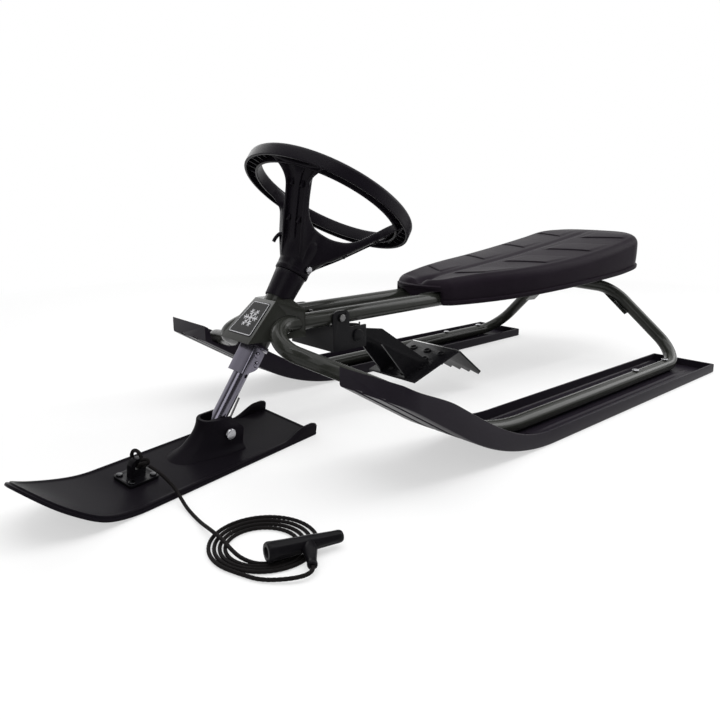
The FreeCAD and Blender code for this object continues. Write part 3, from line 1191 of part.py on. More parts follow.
print("over edge", [round(c, 1) for c in over_edge], "coil start", [round(c, 1) for c in coil_start],
      "boss end", [round(c, 1) for c in boss_end])
for x_share, y_share, over in back_shares:
    z = cord_r if over is None else coil_start.z
    cord_route.append(Vector(coil_start.x + x_share * s.route_span, coil_start.y + y_share * s.route_span, z))
cord_route.append(coil_start - coil_ways[0] * (0.26 * s.route_span))
cord_route.append(coil_start)
for point in cord_route:
    point.z = max(point.z, cord_r)
route_radii = []
for before, here, after in zip(cord_route, cord_route[1:], cord_route[2:]):
    a = before - here
    b = after - here
    half_turn = (math.pi - a.getAngle(b)) / 2
    route_radii.append(0.45 * min(a.Length, b.Length) / math.tan(half_turn))
print("cord points", [[round(c, 1) for c in point] for point in cord_route])
print("cord runs", [round((b - a).Length, 1) for a, b in zip(cord_route, cord_route[1:])])
print("cord radii", [round(r, 1) for r in route_radii])
cord_path = bent_path(cord_route, route_radii)
cord = swept(cord_path, cord_r)
report_tube("tow cord", cord, cord_path, cord_r)
solid_node("tow_cord", cord, ground)


# Check every object, then write one file for each sub-part

doc.recompute()
for obj in doc.Objects:
    if "Invalid" in obj.State or "Error" in obj.State:
        raise RuntimeError("failed object: " + obj.Label + " " + str(obj.State))
for obj in nodes:
    if obj.Shape.isNull() or not obj.Shape.isValid() or not obj.Shape.Solids:
        raise RuntimeError("bad shape: " + obj.Label)
os.makedirs("parts", exist_ok=True)
for obj in nodes:
    obj.Shape.exportStep("parts/%s.step" % obj.Label)
    box_now = obj.Shape.BoundBox
    print("%-20s solids %d volume %10.0f  x %.1f %.1f  y %.1f %.1f  z %.1f %.1f" % (
        obj.Label, len(obj.Shape.Solids), obj.Shape.Volume, box_now.XMin, box_now.XMax,
        box_now.YMin, box_now.YMax, box_now.ZMin, box_now.ZMax))
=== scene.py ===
import bpy
import bmesh
import math
import numpy as np
from mathutils import Matrix


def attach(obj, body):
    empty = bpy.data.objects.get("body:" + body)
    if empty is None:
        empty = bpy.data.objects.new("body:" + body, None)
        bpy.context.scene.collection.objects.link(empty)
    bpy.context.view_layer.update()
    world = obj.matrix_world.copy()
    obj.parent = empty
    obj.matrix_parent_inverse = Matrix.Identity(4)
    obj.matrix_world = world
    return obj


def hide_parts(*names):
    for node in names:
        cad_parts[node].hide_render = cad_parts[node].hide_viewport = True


# steering sled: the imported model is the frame, and the visible skins are built round it
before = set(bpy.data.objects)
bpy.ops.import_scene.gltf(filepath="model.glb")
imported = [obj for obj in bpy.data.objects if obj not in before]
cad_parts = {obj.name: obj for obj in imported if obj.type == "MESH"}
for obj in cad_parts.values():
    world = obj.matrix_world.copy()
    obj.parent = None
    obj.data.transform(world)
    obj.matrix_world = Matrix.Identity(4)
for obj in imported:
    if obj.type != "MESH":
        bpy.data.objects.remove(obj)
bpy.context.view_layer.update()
print("frame loaded:", len(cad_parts), "nodes")

scene = bpy.context.scene
scene.view_settings.view_transform = "Standard"


# Small tools

rearToOrigin = 532.71      # the origin, counted from the rear end of the runners, in mm
pivotBolt = np.array([872.07, 0.0, 40.0])
columnTilt = math.radians(34.5)
steerTurn = math.radians(14.5)
skiNod = math.radians(0.852)


def unit(vector):
    return np.asarray(vector, float) / np.linalg.norm(vector)


def turnAbout(angle, axis):
    return np.array(Matrix.Rotation(angle, 3, axis))


columnMatrix = turnAbout(-columnTilt, "Y") @ turnAbout(steerTurn, "Z")
skiMatrix = columnMatrix @ turnAbout(columnTilt, "Y") @ turnAbout(-skiNod, "Y")


def fromRear(points):
    # millimetres counted from the rear end of the runners become metres in the shared frame
    return (np.asarray(points, float) - np.array([rearToOrigin, 0.0, 0.0])) / 1000.0


def onColumn(points):
    # column frame: x to the nose, y to the left, z up the steering axis from the pivot bolt
    return fromRear(np.asarray(points, float) @ columnMatrix.T + pivotBolt)


def onSki(points):
    # ski frame: x to the tip, y to the left, z up, all from the pivot bolt
    return fromRear(np.asarray(points, float) @ skiMatrix.T + pivotBolt)


def gridFaces(rows, cols, wrapRows=False, wrapCols=False):
    # each grid point with its neighbours one row down and one column on gives a face
    index = np.arange(rows * cols).reshape(rows, cols)
    below = np.roll(index, -1, 0)
    quads = np.stack([index, np.roll(index, -1, 1), np.roll(below, -1, 1), below], -1)
    return quads[: rows if wrapRows else rows - 1, : cols if wrapCols else cols - 1].reshape(-1, 4)


def sheetOf(grid, wrapRows=False, wrapCols=False, capRows=False):
    # a grid of points, rows by columns by three, becomes a shell; capRows closes its first and last row
    rows, cols = grid.shape[:2]
    faces = gridFaces(rows, cols, wrapRows, wrapCols).tolist()
    if capRows:
        faces.append(list(range(cols))[::-1])
        faces.append(list(range((rows - 1) * cols, rows * cols)))
    return grid.reshape(-1, 3), faces


def addPiece(name, shells, body, material, sharp=35.0, merge=1e-6):
    # several shells go into one mesh, doubles are merged and the faces turned outward
    points, faces, start = [], [], 0
    for shellPoints, shellFaces in shells:
        points.append(shellPoints)
        faces += [[int(i) + start for i in face] for face in shellFaces]
        start += len(shellPoints)
    mesh = bpy.data.meshes.new(name)
    mesh.from_pydata(np.concatenate(points).tolist(), [], faces)
    work = bmesh.new()
    work.from_mesh(mesh)
    bmesh.ops.remove_doubles(work, verts=work.verts, dist=merge)
    bmesh.ops.recalc_face_normals(work, faces=work.faces)
    work.to_mesh(mesh)
    work.free()
    mesh.shade_smooth()
    mesh.set_sharp_from_angle(angle=math.radians(sharp))
    piece = bpy.data.objects.new(name, mesh)
    scene.collection.objects.link(piece)
    mesh.materials.append(material)
    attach(piece, body)
    return piece


def ringFrames(path, closed=False, away=(0.11, 0.31, 0.94)):
    # two normals at each station, from a fixed direction that no run follows and the run's own direction
    step = np.roll(path, -1, 0) - np.roll(path, 1, 0) if closed else np.gradient(path, axis=0)
    tangent = step / np.linalg.norm(step, axis=1, keepdims=True)
    side = np.cross(tangent, np.array(away))
    side /= np.linalg.norm(side, axis=1, keepdims=True)
    return side, np.cross(side, tangent)


def tubeShell(path, radius, around, closed=False, away=(0.11, 0.31, 0.94)):
    # a round section carried along a path; the radius is one number, or one for each station and angle
    side, lift = ringFrames(path, closed, away)
    angle = np.linspace(0, 2 * math.pi, around, endpoint=False)[None, :, None]
    ring = side[:, None] * np.cos(angle) + lift[:, None] * np.sin(angle)
    grid = path[:, None] + np.asarray(radius)[..., None] * ring
    return sheetOf(grid, wrapRows=closed, wrapCols=True, capRows=not closed)


def placed(shells, place):
    return [(place(points), faces) for points, faces in shells]


def smoothStep(low, high, value):
    share = np.clip((value - low) / (high - low), 0.0, 1.0)
    return share * share * (3 - 2 * share)


def throughStations(at, places, values):
    # cubic pieces between stations, their slopes from the neighbours
    places, values = np.asarray(places, float), np.asarray(values, float)
    slopes = np.gradient(values, places)
    i = np.clip(np.searchsorted(places, at) - 1, 0, len(places) - 2)
    gap = places[i + 1] - places[i]
    t = np.clip((at - places[i]) / gap, 0.0, 1.0)
    return ((2 * t**3 - 3 * t**2 + 1) * values[i] + (t**3 - 2 * t**2 + t) * gap * slopes[i]
            + (3 * t**2 - 2 * t**3) * values[i + 1] + (t**3 - t**2) * gap * slopes[i + 1])


def addLayer(piece, label, values):
    # one number for each point, which a material reads by its name
    layer = piece.data.attributes.new(label, "FLOAT", "POINT")
    layer.data.foreach_set("value", values.astype(np.float32))


# Materials: shared effects are node groups, the shader stays in each material

def newGroup(name, inputs, outputs):
    group = bpy.data.node_groups.new(name, "ShaderNodeTree")
    for label, kind, value in inputs:
        socket = group.interface.new_socket(name=label, in_out="INPUT", socket_type=kind)
        if value is not None:
            socket.default_value = value
    for label, kind in outputs:
        group.interface.new_socket(name=label, in_out="OUTPUT", socket_type=kind)
    return group, group.nodes.new("NodeGroupInput"), group.nodes.new("NodeGroupOutput")


def mathNode(tree, operation, first, second=None):
    node = tree.nodes.new("ShaderNodeMath")
    node.operation = operation
    for socket, value in zip(node.inputs, (first, second)):
        if isinstance(value, (int, float)):
            socket.default_value = value
        elif value is not None:
            tree.links.new(value, socket)
    return node.outputs[0]


def mixColour(tree, share, first, second):
    node = tree.nodes.new("ShaderNodeMix")
    node.data_type = "RGBA"
    for socket, value in zip((node.inputs[0], node.inputs[6], node.inputs[7]), (share, first, second)):
        if hasattr(value, "is_linked"):
            tree.links.new(value, socket)
        else:
            socket.default_value = value
    return node.outputs[2]


def noiseNode(tree, vector, scale, detail=3.0, rough=0.55):
    node = tree.nodes.new("ShaderNodeTexNoise")
    node.inputs["Detail"].default_value = detail
    node.inputs["Roughness"].default_value = rough
    tree.links.new(vector, node.inputs["Vector"])
    if isinstance(scale, (int, float)):
        node.inputs["Scale"].default_value = scale
    else:
        tree.links.new(scale, node.inputs["Scale"])
    return node.outputs["Fac"]


def makeSurfaceGroup():
    # uneven surface: broad clouds tint the colour, fine grain moves roughness and height
    group, given, made = newGroup(
        "surfaceGrain",
        [("Vector", "NodeSocketVector", None), ("Colour", "NodeSocketColor", (0.1, 0.1, 0.1, 1)),
         ("Tint", "NodeSocketColor", (0.15, 0.15, 0.15, 1)), ("Cloud Scale", "NodeSocketFloat", 9.0),
         ("Grain Scale", "NodeSocketFloat", 900.0), ("Roughness", "NodeSocketFloat", 0.4),
         ("Roughness Spread", "NodeSocketFloat", 0.1)],
        [("Colour", "NodeSocketColor"), ("Roughness", "NodeSocketFloat"), ("Height", "NodeSocketFloat")])
    cloud = noiseNode(group, given.outputs["Vector"], given.outputs["Cloud Scale"], 4.0, 0.6)
    grain = noiseNode(group, given.outputs["Vector"], given.outputs["Grain Scale"], 2.0, 0.5)
    broad = mathNode(group, "MULTIPLY", cloud, 0.6)
    fine = mathNode(group, "MULTIPLY", grain, 0.4)
    both = mathNode(group, "ADD", broad, fine)
    colour = mixColour(group, both, given.outputs["Colour"], given.outputs["Tint"])
    centred = mathNode(group, "SUBTRACT", both, 0.5)
    away = mathNode(group, "MULTIPLY", centred, given.outputs["Roughness Spread"])
    rough = mathNode(group, "ADD", given.outputs["Roughness"], away)
    for label, socket in (("Colour", colour), ("Roughness", rough), ("Height", grain)):
        group.links.new(socket, made.inputs[label])
    return group


surfaceGrain = makeSurfaceGroup()


def finishMaterial(name, look):
    # one Principled shader, its colour, roughness and bump from the shared grain group
    material = bpy.data.materials.new(name)
    material.use_nodes = True
    tree = material.node_tree
    shader = tree.nodes["Principled BSDF"]
    place = tree.nodes.new("ShaderNodeTexCoord")
    grain = tree.nodes.new("ShaderNodeGroup")
    grain.node_tree = surfaceGrain
    tree.links.new(place.outputs["Object"], grain.inputs["Vector"])
    for label, key in (("Colour", "colour"), ("Tint", "tint")):
        grain.inputs[label].default_value = (*look[key], 1)
    for label, key in (("Cloud Scale", "cloud"), ("Grain Scale", "grain"), ("Roughness", "rough"),
                       ("Roughness Spread", "roughSpread")):
        grain.inputs[label].default_value = look[key]
    bump = tree.nodes.new("ShaderNodeBump")
    bump.inputs["Strength"].default_value = look["bump"]
    bump.inputs["Distance"].default_value = look["bumpDepth"]
    tree.links.new(grain.outputs["Height"], bump.inputs["Height"])
    tree.links.new(grain.outputs["Colour"], shader.inputs["Base Color"])
    tree.links.new(grain.outputs["Roughness"], shader.inputs["Roughness"])
    tree.links.new(bump.outputs["Normal"], shader.inputs["Normal"])
    plain = (("Metallic", "metallic", 0.0), ("Coat Weight", "coat", 0.0),
             ("Coat Roughness", "coatRough", 0.1), ("Specular IOR Level", "specular", 0.5))
    for label, key, otherwise in plain:
        shader.inputs[label].default_value = look.get(key, otherwise)
    return material


finishes = {
    "framePaint": dict(
        colour=(0.0145, 0.0153, 0.013), tint=(0.028, 0.0292, 0.025), cloud=14.0, grain=1400.0,
        rough=0.22, roughSpread=0.12, bump=0.08, bumpDepth=0.0003, specular=0.12, coat=0.14, coatRough=0.05),
    "brakePaint": dict(
        colour=(0.004, 0.0038, 0.0045), tint=(0.009, 0.0088, 0.0105), cloud=20.0, grain=1600.0,
        rough=0.28, roughSpread=0.15, bump=0.1, bumpDepth=0.0003, specular=0.1),
    "leverPaint": dict(
        colour=(0.004, 0.0038, 0.0045), tint=(0.009, 0.0088, 0.0105), cloud=20.0, grain=1600.0,
        rough=0.28, roughSpread=0.15, bump=0.1, bumpDepth=0.0003, specular=0.08,
        # the last four keys place the painted highlight along the lever's fold
        highlightLine=(-0.0807, 0.079), highlightReach=0.0026, highlightPatches=0.0016, highlightColour=(0.6, 0.6, 0.6)),
    "platedSteel": dict(
        colour=(0.13, 0.122, 0.155), tint=(0.21, 0.2, 0.24), cloud=40.0, grain=900.0,
        rough=0.2, roughSpread=0.2, bump=0.05, bumpDepth=0.0002, metallic=1.0),
    "fastenerSteel": dict(
        colour=(0.3, 0.3, 0.32), tint=(0.45, 0.45, 0.46), cloud=120.0, grain=2200.0,
        rough=0.24, roughSpread=0.2, bump=0.06, bumpDepth=0.0002, metallic=1.0),
    "darkScrew": dict(
        colour=(0.012, 0.012, 0.013), tint=(0.03, 0.03, 0.032), cloud=120.0, grain=2200.0,
        rough=0.24, roughSpread=0.2, bump=0.06, bumpDepth=0.0002, metallic=1.0),
    "springSteel": dict(
        colour=(0.1, 0.1, 0.105), tint=(0.2, 0.195, 0.195), cloud=150.0, grain=2400.0,
        rough=0.28, roughSpread=0.2, bump=0.05, bumpDepth=0.0002, metallic=1.0),
    "runnerPlastic": dict(
        colour=(0.0082, 0.0066, 0.0097), tint=(0.019, 0.0156, 0.0222), cloud=11.0, grain=1500.0,
        rough=0.36, roughSpread=0.16, bump=0.12, bumpDepth=0.0004, specular=0.06),
    "skiPlastic": dict(
        colour=(0.0042, 0.0036, 0.005), tint=(0.0105, 0.009, 0.012), cloud=11.0, grain=1500.0,
        rough=0.34, roughSpread=0.16, bump=0.12, bumpDepth=0.0004, specular=0.014),
    "gripPlastic": dict(
        colour=(0.0035, 0.0032, 0.004), tint=(0.0075, 0.007, 0.0085), cloud=30.0, grain=1900.0,
        rough=0.3, roughSpread=0.16, bump=0.12, bumpDepth=0.0003, specular=0.06),
    "wheelPlastic": dict(
        colour=(0.0036, 0.0028, 0.0044), tint=(0.0088, 0.007, 0.0106), cloud=16.0, grain=1700.0,
        rough=0.34, roughSpread=0.16, bump=0.12, bumpDepth=0.0004, specular=0.07),
    "seatVinyl": dict(
        colour=(0.0086, 0.0062, 0.0092), tint=(0.0178, 0.0134, 0.019), cloud=12.0, grain=1100.0,
        rough=0.38, roughSpread=0.14, bump=0.16, bumpDepth=0.0005, specular=0.018,
        # the last three keys set the painted shade lines along the panels' steps, their width and their
        # roughness
        stepShadeColour=(0.0015, 0.0013, 0.0016), creaseHalf=(1.5, 0.4), creaseRough=0.3),
    "labelFilm": dict(
        colour=(0.003, 0.003, 0.0034), tint=(0.006, 0.006, 0.0068), cloud=60.0, grain=1500.0,
        rough=0.2, roughSpread=0.08, bump=0.03, bumpDepth=0.0002, specular=0.06,
        markColour=(0.55, 0.55, 0.57)),
    "cordFibre": dict(
        colour=(0.004, 0.0035, 0.0036), tint=(0.014, 0.0125, 0.0125), cloud=60.0, grain=2500.0,
        rough=0.6, roughSpread=0.2, bump=0.3, bumpDepth=0.0004, specular=0.04),
}


def rangeMask(tree, value, low, high):
    # one where the value is at high, none at low, straight between
    node = tree.nodes.new("ShaderNodeMapRange")
    node.inputs["From Min"].default_value = low
    node.inputs["From Max"].default_value = high
    tree.links.new(value, node.inputs["Value"])
    return node.outputs["Result"]


def attributeValue(tree, name):
    node = tree.nodes.new("ShaderNodeAttribute")
    node.attribute_name = name
    return node.outputs["Fac"]


def paintOver(tree, share, colour):
    # the colour goes over the shader's base colour where the share is one
    base = tree.nodes["Principled BSDF"].inputs["Base Color"]
    tree.links.new(mixColour(tree, share, base.links[0].from_socket, (*colour, 1)), base)


def addFoldHighlight(tree, look):
    # painted highlight along the fold: bright metal colour and full metalness, by the distance from its line
    # in a side view
    place = tree.nodes.new("ShaderNodeTexCoord")
    parts = tree.nodes.new("ShaderNodeSeparateXYZ")
    tree.links.new(place.outputs["Object"], parts.inputs[0])
    squares = []
    for axis, middle in zip("XZ", look["highlightLine"]):
        gap = mathNode(tree, "SUBTRACT", parts.outputs[axis], middle)
        squares.append(mathNode(tree, "MULTIPLY", gap, gap))
    away = mathNode(tree, "SQRT", mathNode(tree, "ADD", *squares))
    patchy = mathNode(tree, "MULTIPLY", noiseNode(tree, place.outputs["Object"], 260.0), look["highlightPatches"])
    reach = look["highlightReach"]
    # share of painted highlight, patchy at its edge
    bare = rangeMask(tree, mathNode(tree, "ADD", away, patchy), reach * 1.25, reach * 0.85)
    paintOver(tree, bare, look["highlightColour"])
    tree.links.new(bare, tree.nodes["Principled BSDF"].inputs["Metallic"])


def addStepShade(tree, look):
    # painted shade: thin dark lines along the panels' steps, duller than the rest
    away = mathNode(tree, "ABSOLUTE", attributeValue(tree, "panelLine"))
    line = rangeMask(tree, away, *look["creaseHalf"])
    # share of painted shade along each step line
    crease = mathNode(tree, "MULTIPLY", line, attributeValue(tree, "panelShows"))
    paintOver(tree, crease, look["stepShadeColour"])
    rough = tree.nodes["Principled BSDF"].inputs["Roughness"]
    more = mathNode(tree, "MULTIPLY", crease, look["creaseRough"])
    tree.links.new(mathNode(tree, "ADD", rough.links[0].from_socket, more), rough)


surfaces = {name: finishMaterial(name, look) for name, look in finishes.items()}
# the lever's fold gets a painted highlight
addFoldHighlight(surfaces["leverPaint"].node_tree, finishes["leverPaint"])
# the seat's panel steps get painted shade lines
addStepShade(surfaces["seatVinyl"].node_tree, finishes["seatVinyl"])
labelTree = surfaces["labelFilm"].node_tree
paintOver(labelTree, attributeValue(labelTree, "paleMark"), finishes["labelFilm"]["markColour"])
print("materials ready:", len(surfaces))


# Nodes that stay as imported get a finish

carriedFinish = {
    "framePaint": ("frame_tube_left", "frame_tube_right", "tube_joint_sleeves", "head_tube"),
    "platedSteel": ("fork_tube", "column_tube", "thrust_washer"),
    "fastenerSteel": ("ski_pivot_nut",),
    "springSteel": ("brake_spring", "ski_spring"),
    "runnerPlastic": ("lower_column_bush", "upper_column_bush"),
}
for finish, names in carriedFinish.items():
    for name in names:
        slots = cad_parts[name].data.materials
        for i in range(len(slots)):
            slots[i] = surfaces[finish]
        if not len(slots):
            slots.append(surfaces[finish])


# Seat: one moulded skin with a flat top, a pinched front, stepped chevron panels and a hollow underside

seatLook = dict(
    rear=-58.0, length=566.0, around=960, topRows=44,
    stations=(0.0, 0.03, 0.09, 0.21, 0.37, 0.57, 0.73, 0.87, 0.96, 1.0),
    half=(107.0, 109.0, 112.0, 115.0, 114.5, 107.0, 93.0, 71.0, 56.5, 50.0),
    top=(242.0, 245.8, 244.0, 235.5, 224.5, 211.5, 203.3, 197.0, 191.5, 187.0),
    edgeRise=(-2.0, -2.0, -3.0, -5.0, -5.5, -3.0, 0.5, 3.0, 3.5, 3.5), edgePower=2.2,
    rim=(183.0, 181.5, 179.0, 172.3, 167.5, 162.0, 158.0, 155.6, 155.8, 156.6),
    rearRound=82.0, frontRound=29.0, roundPower=2.1, spineRear=62.0, spineFront=34.0,
    shoulder=15.0, shoulderDrop=17.0, flare=5.0, flareTo=60.0, flareFrom=5.0,
    spineDepth=2.2, spineWidth=7.0, spineFrom=(-30.0, 40.0),
    pinchDepth=8.0, pinchWidth=10.0, pinchFrom=(440.0, 506.0),
    stepFirst=72.0, stepPitch=121.0, stepSlant=0.45, stepCount=4, stepRise=1.5, stepFrom=20.0,
    stepLead=(-90.0, -2.0), stepDrop=(-2.0, 0.4), panelRear=(-40.0, 0.0), panelFront=(470.0, 440.0),
    lineRear=(-40.0, -10.0), lineFront=(460.0, 440.0), lineBelow=12.0,
    lip=6.5, lipProud=1.6, ceiling=177.0, wall=4.0, notchHalf=47.0, notchFrom=474.0,
)


def seatSteps(x, y, look):
    # slanted panels: the phase grows along the seat and with the distance from the spine,
    # and the result is the distance to the nearest panel's line
    phase = (x + look["stepSlant"] * np.abs(y) - look["stepFirst"]) / look["stepPitch"]
    nearest = np.clip(np.round(phase), 0, look["stepCount"] - 1)
    return (phase - nearest) * look["stepPitch"]


def seatTop(x, y, across, look):
    # middle line plus a rise to the edge, less a fine crease along the spine and a pinch at the front;
    # each panel rises a little up to its line and drops there
    along = (x - look["rear"]) / look["length"]
    level = throughStations(along, look["stations"], look["top"])
    level = level + throughStations(along, look["stations"], look["edgeRise"]) * across ** look["edgePower"]
    crease = look["spineDepth"] * np.exp(-((y / look["spineWidth"]) ** 2)) * smoothStep(*look["spineFrom"], x)
    pinch = look["pinchDepth"] * np.exp(-((y / look["pinchWidth"]) ** 2)) * smoothStep(*look["pinchFrom"], x)
    away = seatSteps(x, y, look)
    panel = look["stepRise"] * (smoothStep(*look["stepLead"], away) - smoothStep(*look["stepDrop"], away))
    inside = smoothStep(0.2, 0.3, across) * smoothStep(0.99, 0.9, across)
    inside = inside * smoothStep(*look["panelRear"], x) * smoothStep(*look["panelFront"], x)
    return level - crease - pinch + panel * inside


def makeSeat(look):
    # columns run round the outline: x swings as a cosine, the width is the stations' width times a
    # rounded end; rows run from the spine over the top, round the shoulder, down the wall, round the
    # lip and back underneath
    rear, front = look["rear"], look["rear"] + look["length"]
    angle = np.linspace(0, 2 * math.pi, look["around"], endpoint=False)
    x = rear + look["length"] * (0.5 + 0.5 * np.cos(angle))
    share = (x - rear) / look["length"]
    ends = np.minimum(np.clip((x - rear) / look["rearRound"], 0, 1),
                      np.clip((front - x) / look["frontRound"], 0, 1))
    rounded = (1 - (1 - ends) ** look["roundPower"]) ** (1 / look["roundPower"])
    y = np.sign(np.sin(angle)) * throughStations(share, look["stations"], look["half"]) * rounded
    outline = np.stack([x, y], 1)
    spine = np.stack([np.clip(x, rear + look["spineRear"], front - look["spineFront"]), np.zeros_like(x)], 1)
    inward = spine - outline
    inward = inward / np.linalg.norm(inward, axis=1, keepdims=True)

    # the lower rim has a notch in front, where the frame's tubes come in
    rim = throughStations(share, look["stations"], look["rim"])
    notch = smoothStep(look["notchHalf"] + 1.5, look["notchHalf"] - 1.5, np.abs(y))
    notch = notch * smoothStep(look["notchFrom"], look["notchFrom"] + 6, x)
    rim = rim + (look["ceiling"] + 1.5 - rim) * notch
    flare = look["flare"] * smoothStep(rear + look["flareTo"], rear + look["flareFrom"], x)

    rows = []
    for t in np.linspace(0, 1, look["topRows"]):
        flat = spine + (outline + inward * (look["shoulder"] + flare[:, None]) - spine) * t
        rows.append(np.c_[flat, seatTop(flat[:, 0], flat[:, 1], np.full(len(x), t), look)])
    edge = rows[-1][:, 2]
    for bend in np.linspace(0, math.pi / 2, 10)[1:]:
        flat = outline + inward * (look["shoulder"] * (1 - math.sin(bend)) + flare[:, None])
        rows.append(np.c_[flat, edge - look["shoulderDrop"] * (1 - math.cos(bend))])
    wallTop = rows[-1][:, 2]
    lipTop = rim + look["lip"] + 1.2
    for t in np.linspace(0, 1, 7)[1:]:
        flat = outline + inward * (flare * (1 - t) ** 1.5 + 1.8 * t**3)[:, None]
        rows.append(np.c_[flat, wallTop + (lipTop - wallTop) * t])
    proud, lip = look["lipProud"], look["lip"]
    lipShape = [(2.3, 0.5), (2.2, 0.0), (0.2, -0.5), (-proud, -1.6), (-proud, -lip + 1.4),
                (-0.6, -lip - 0.4), (0.6, -lip - 1.2), (look["wall"], -lip - 1.2)]
    for inset, drop in lipShape:
        rows.append(np.c_[outline + inward * inset, lipTop + drop])
    ceiling = np.maximum(look["ceiling"], rim + lip)
    rows.append(np.c_[outline + inward * (look["wall"] + 0.8), ceiling])
    rows.append(np.c_[spine, ceiling])
    seat = addPiece("seatSkin", [sheetOf(fromRear(np.stack(rows)), wrapCols=True)], "frame",
                    surfaces["seatVinyl"], sharp=40, merge=2e-5)

    # distance to the nearest panel line in mm, and where its painted shade line shows, for the seat's
    # material
    points = np.zeros(len(seat.data.vertices) * 3)
    seat.data.vertices.foreach_get("co", points)
    x, y, z = (points.reshape(-1, 3) * 1000 + np.array([rearToOrigin, 0, 0])).T
    along = (x - rear) / look["length"]
    width = throughStations(along, look["stations"], look["half"]) - look["shoulder"]
    level = throughStations(along, look["stations"], look["top"])
    shows = smoothStep(look["stepFrom"] - 2, look["stepFrom"] + 2, np.abs(y))
    shows = shows * smoothStep(width, width - 6, np.abs(y)) * (z > level - look["lineBelow"])
    shows = shows * smoothStep(*look["lineFront"], x) * smoothStep(*look["lineRear"], x)
    addLayer(seat, "panelLine", seatSteps(x, y, look))
    addLayer(seat, "panelShows", shows)
    return seat


seatSkin = makeSeat(seatLook)
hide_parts("seat_pad", "seat_pan")
print("seat skin:", len(seatSkin.data.polygons), "faces")


# Wheel: a hollow band with ribs underneath, three open webs and a hub cone

wheelLook = dict(
    radius=122.0, bandTop=347.0, around=240,
    ribs=44, ribThick=1.6, ribFrom=(-17.0, -15.0), ribTo=(-3.0, -4.0),
    lean=7.5, leanPower=1.2, leanFrom=(28.0, 100.0),
    band=((0.0, -20.0), (-0.3, -1.0), (-19.0, -1.5), (-20.0, -20.0),
          (-16.6, -20.0), (-15.5, -5.0), (-4.6, -5.0), (-3.6, -20.0)),
    bandRounds=(1.2, 5.5, 4.5, 1.2, 1.0, 2.5, 2.5, 1.0),
    spokeTo=107.0, spokeAngles=(9.5, 129.5, 249.5), armHalf=16.5, valleyRound=22.0,
    rimFlare=30.0, flareFrom=76.0,
    edgeRound=((3.5, 0.0), (1.6, 0.5), (0.5, 1.6), (0.0, 3.4)),
    flange=3.4, recess=8.0, recessFrom=(24.0, 40.0), floorLeast=5.0,
    ridge=0.62, ridgeFrom=(30.0, 44.0), ridgeTo=(101.0, 94.0),
    radii=(0.0, 22.0, 31.0, 40.0, 50.0, 60.0, 70.0, 80.0, 90.0, 100.0, 110.0),
    upper=(288.0, 286.5, 286.5, 288.0, 291.0, 297.0, 307.5, 321.0, 333.5, 341.0, 344.5),
    lower=(230.0, 236.0, 246.5, 257.0, 268.0, 279.5, 291.5, 303.5, 315.0, 324.5, 331.0),
    pinPlaces=(54.0, 84.0), pinAside=7.4, pinRadius=2.5, pinHeight=9.0, pinSink=1.6,
    hub=((0.0, 288.6), (10.0, 288.2), (15.5, 286.5), (18.5, 282.5), (20.5, 277.0), (22.5, 271.0),
         (24.3, 265.0), (24.8, 258.0), (24.4, 251.0), (23.8, 244.0), (23.3, 237.0), (23.0, 232.5),
         (22.6, 229.4), (23.0, 228.6), (23.0, 223.4), (22.2, 222.4), (12.7, 222.4), (12.7, 280.0),
         (0.0, 280.0)),
    hookPath=((32.0, 13.0, 273.0), (40.0, 17.0, 275.0), (47.0, 18.5, 273.0), (51.0, 19.0, 266.0),
              (51.5, 19.0, 260.0)),
    hookRadius=2.6, hookSpoke=2,
)


def spunShell(profile, around, closed=True):
    # a profile of radius and height turned about the column's axis
    profile = np.asarray(profile, float)
    turn = np.linspace(0, 2 * math.pi, around, endpoint=False)[None, :]
    radius, height = profile[:, :1], profile[:, 1:]
    grid = np.stack([radius * np.cos(turn), radius * np.sin(turn), height + 0 * turn], -1)
    return sheetOf(grid, wrapRows=closed, wrapCols=True)


def roundedLoop(corners, cuts):
    # corners cut back by a length and joined by a short arc of a quadratic curve
    corners = np.asarray(corners, float)
    before, after = np.roll(corners, 1, 0) - corners, np.roll(corners, -1, 0) - corners
    cuts = np.asarray(cuts, float)[:, None]
    start = corners + before / np.linalg.norm(before, axis=1, keepdims=True) * cuts
    end = corners + after / np.linalg.norm(after, axis=1, keepdims=True) * cuts
    t = np.linspace(0, 1, 6)[None, :, None]
    curve = (1 - t) ** 2 * start[:, None] + 2 * t * (1 - t) * corners[:, None] + t**2 * end[:, None]
    return curve.reshape(-1, 2)


def boxShell(low, high):
    # eight corners of a block, given by two opposite ones
    pick = np.array([[0, 0, 0], [1, 0, 0], [1, 1, 0], [0, 1, 0], [0, 0, 1], [1, 0, 1], [1, 1, 1], [0, 1, 1]])
    points = np.where(pick == 1, np.asarray(high, float), np.asarray(low, float))
    return points, [[0, 3, 2, 1], [4, 5, 6, 7], [0, 1, 5, 4], [1, 2, 6, 5], [2, 3, 7, 6], [3, 0, 4, 7]]


def spiderOutline(look):
    # one side of one arm: a round valley between two arms, a straight flank, then a flare into the band
    half, bend = look["armHalf"], look["valleyRound"]
    valley = np.array([(half + bend) / math.sin(math.pi / 3), 0.0])
    valley = turnAbout(math.pi / 3, "Z")[:2, :2] @ valley
    angle = np.linspace(math.radians(240), math.radians(270), 14)
    fillet = valley + bend * np.stack([np.cos(angle), np.sin(angle)], 1)
    x = np.linspace(valley[0], look["spokeTo"], 70)[1:]
    flank = half + look["rimFlare"] * smoothStep(look["flareFrom"], look["spokeTo"] + 4, x) ** 2
    side = np.r_[fillet, np.stack([x, flank], 1)]
    end = np.stack([np.full(11, look["spokeTo"]), np.linspace(flank[-1], 0, 12)[1:]], 1)
    return np.r_[side, end]


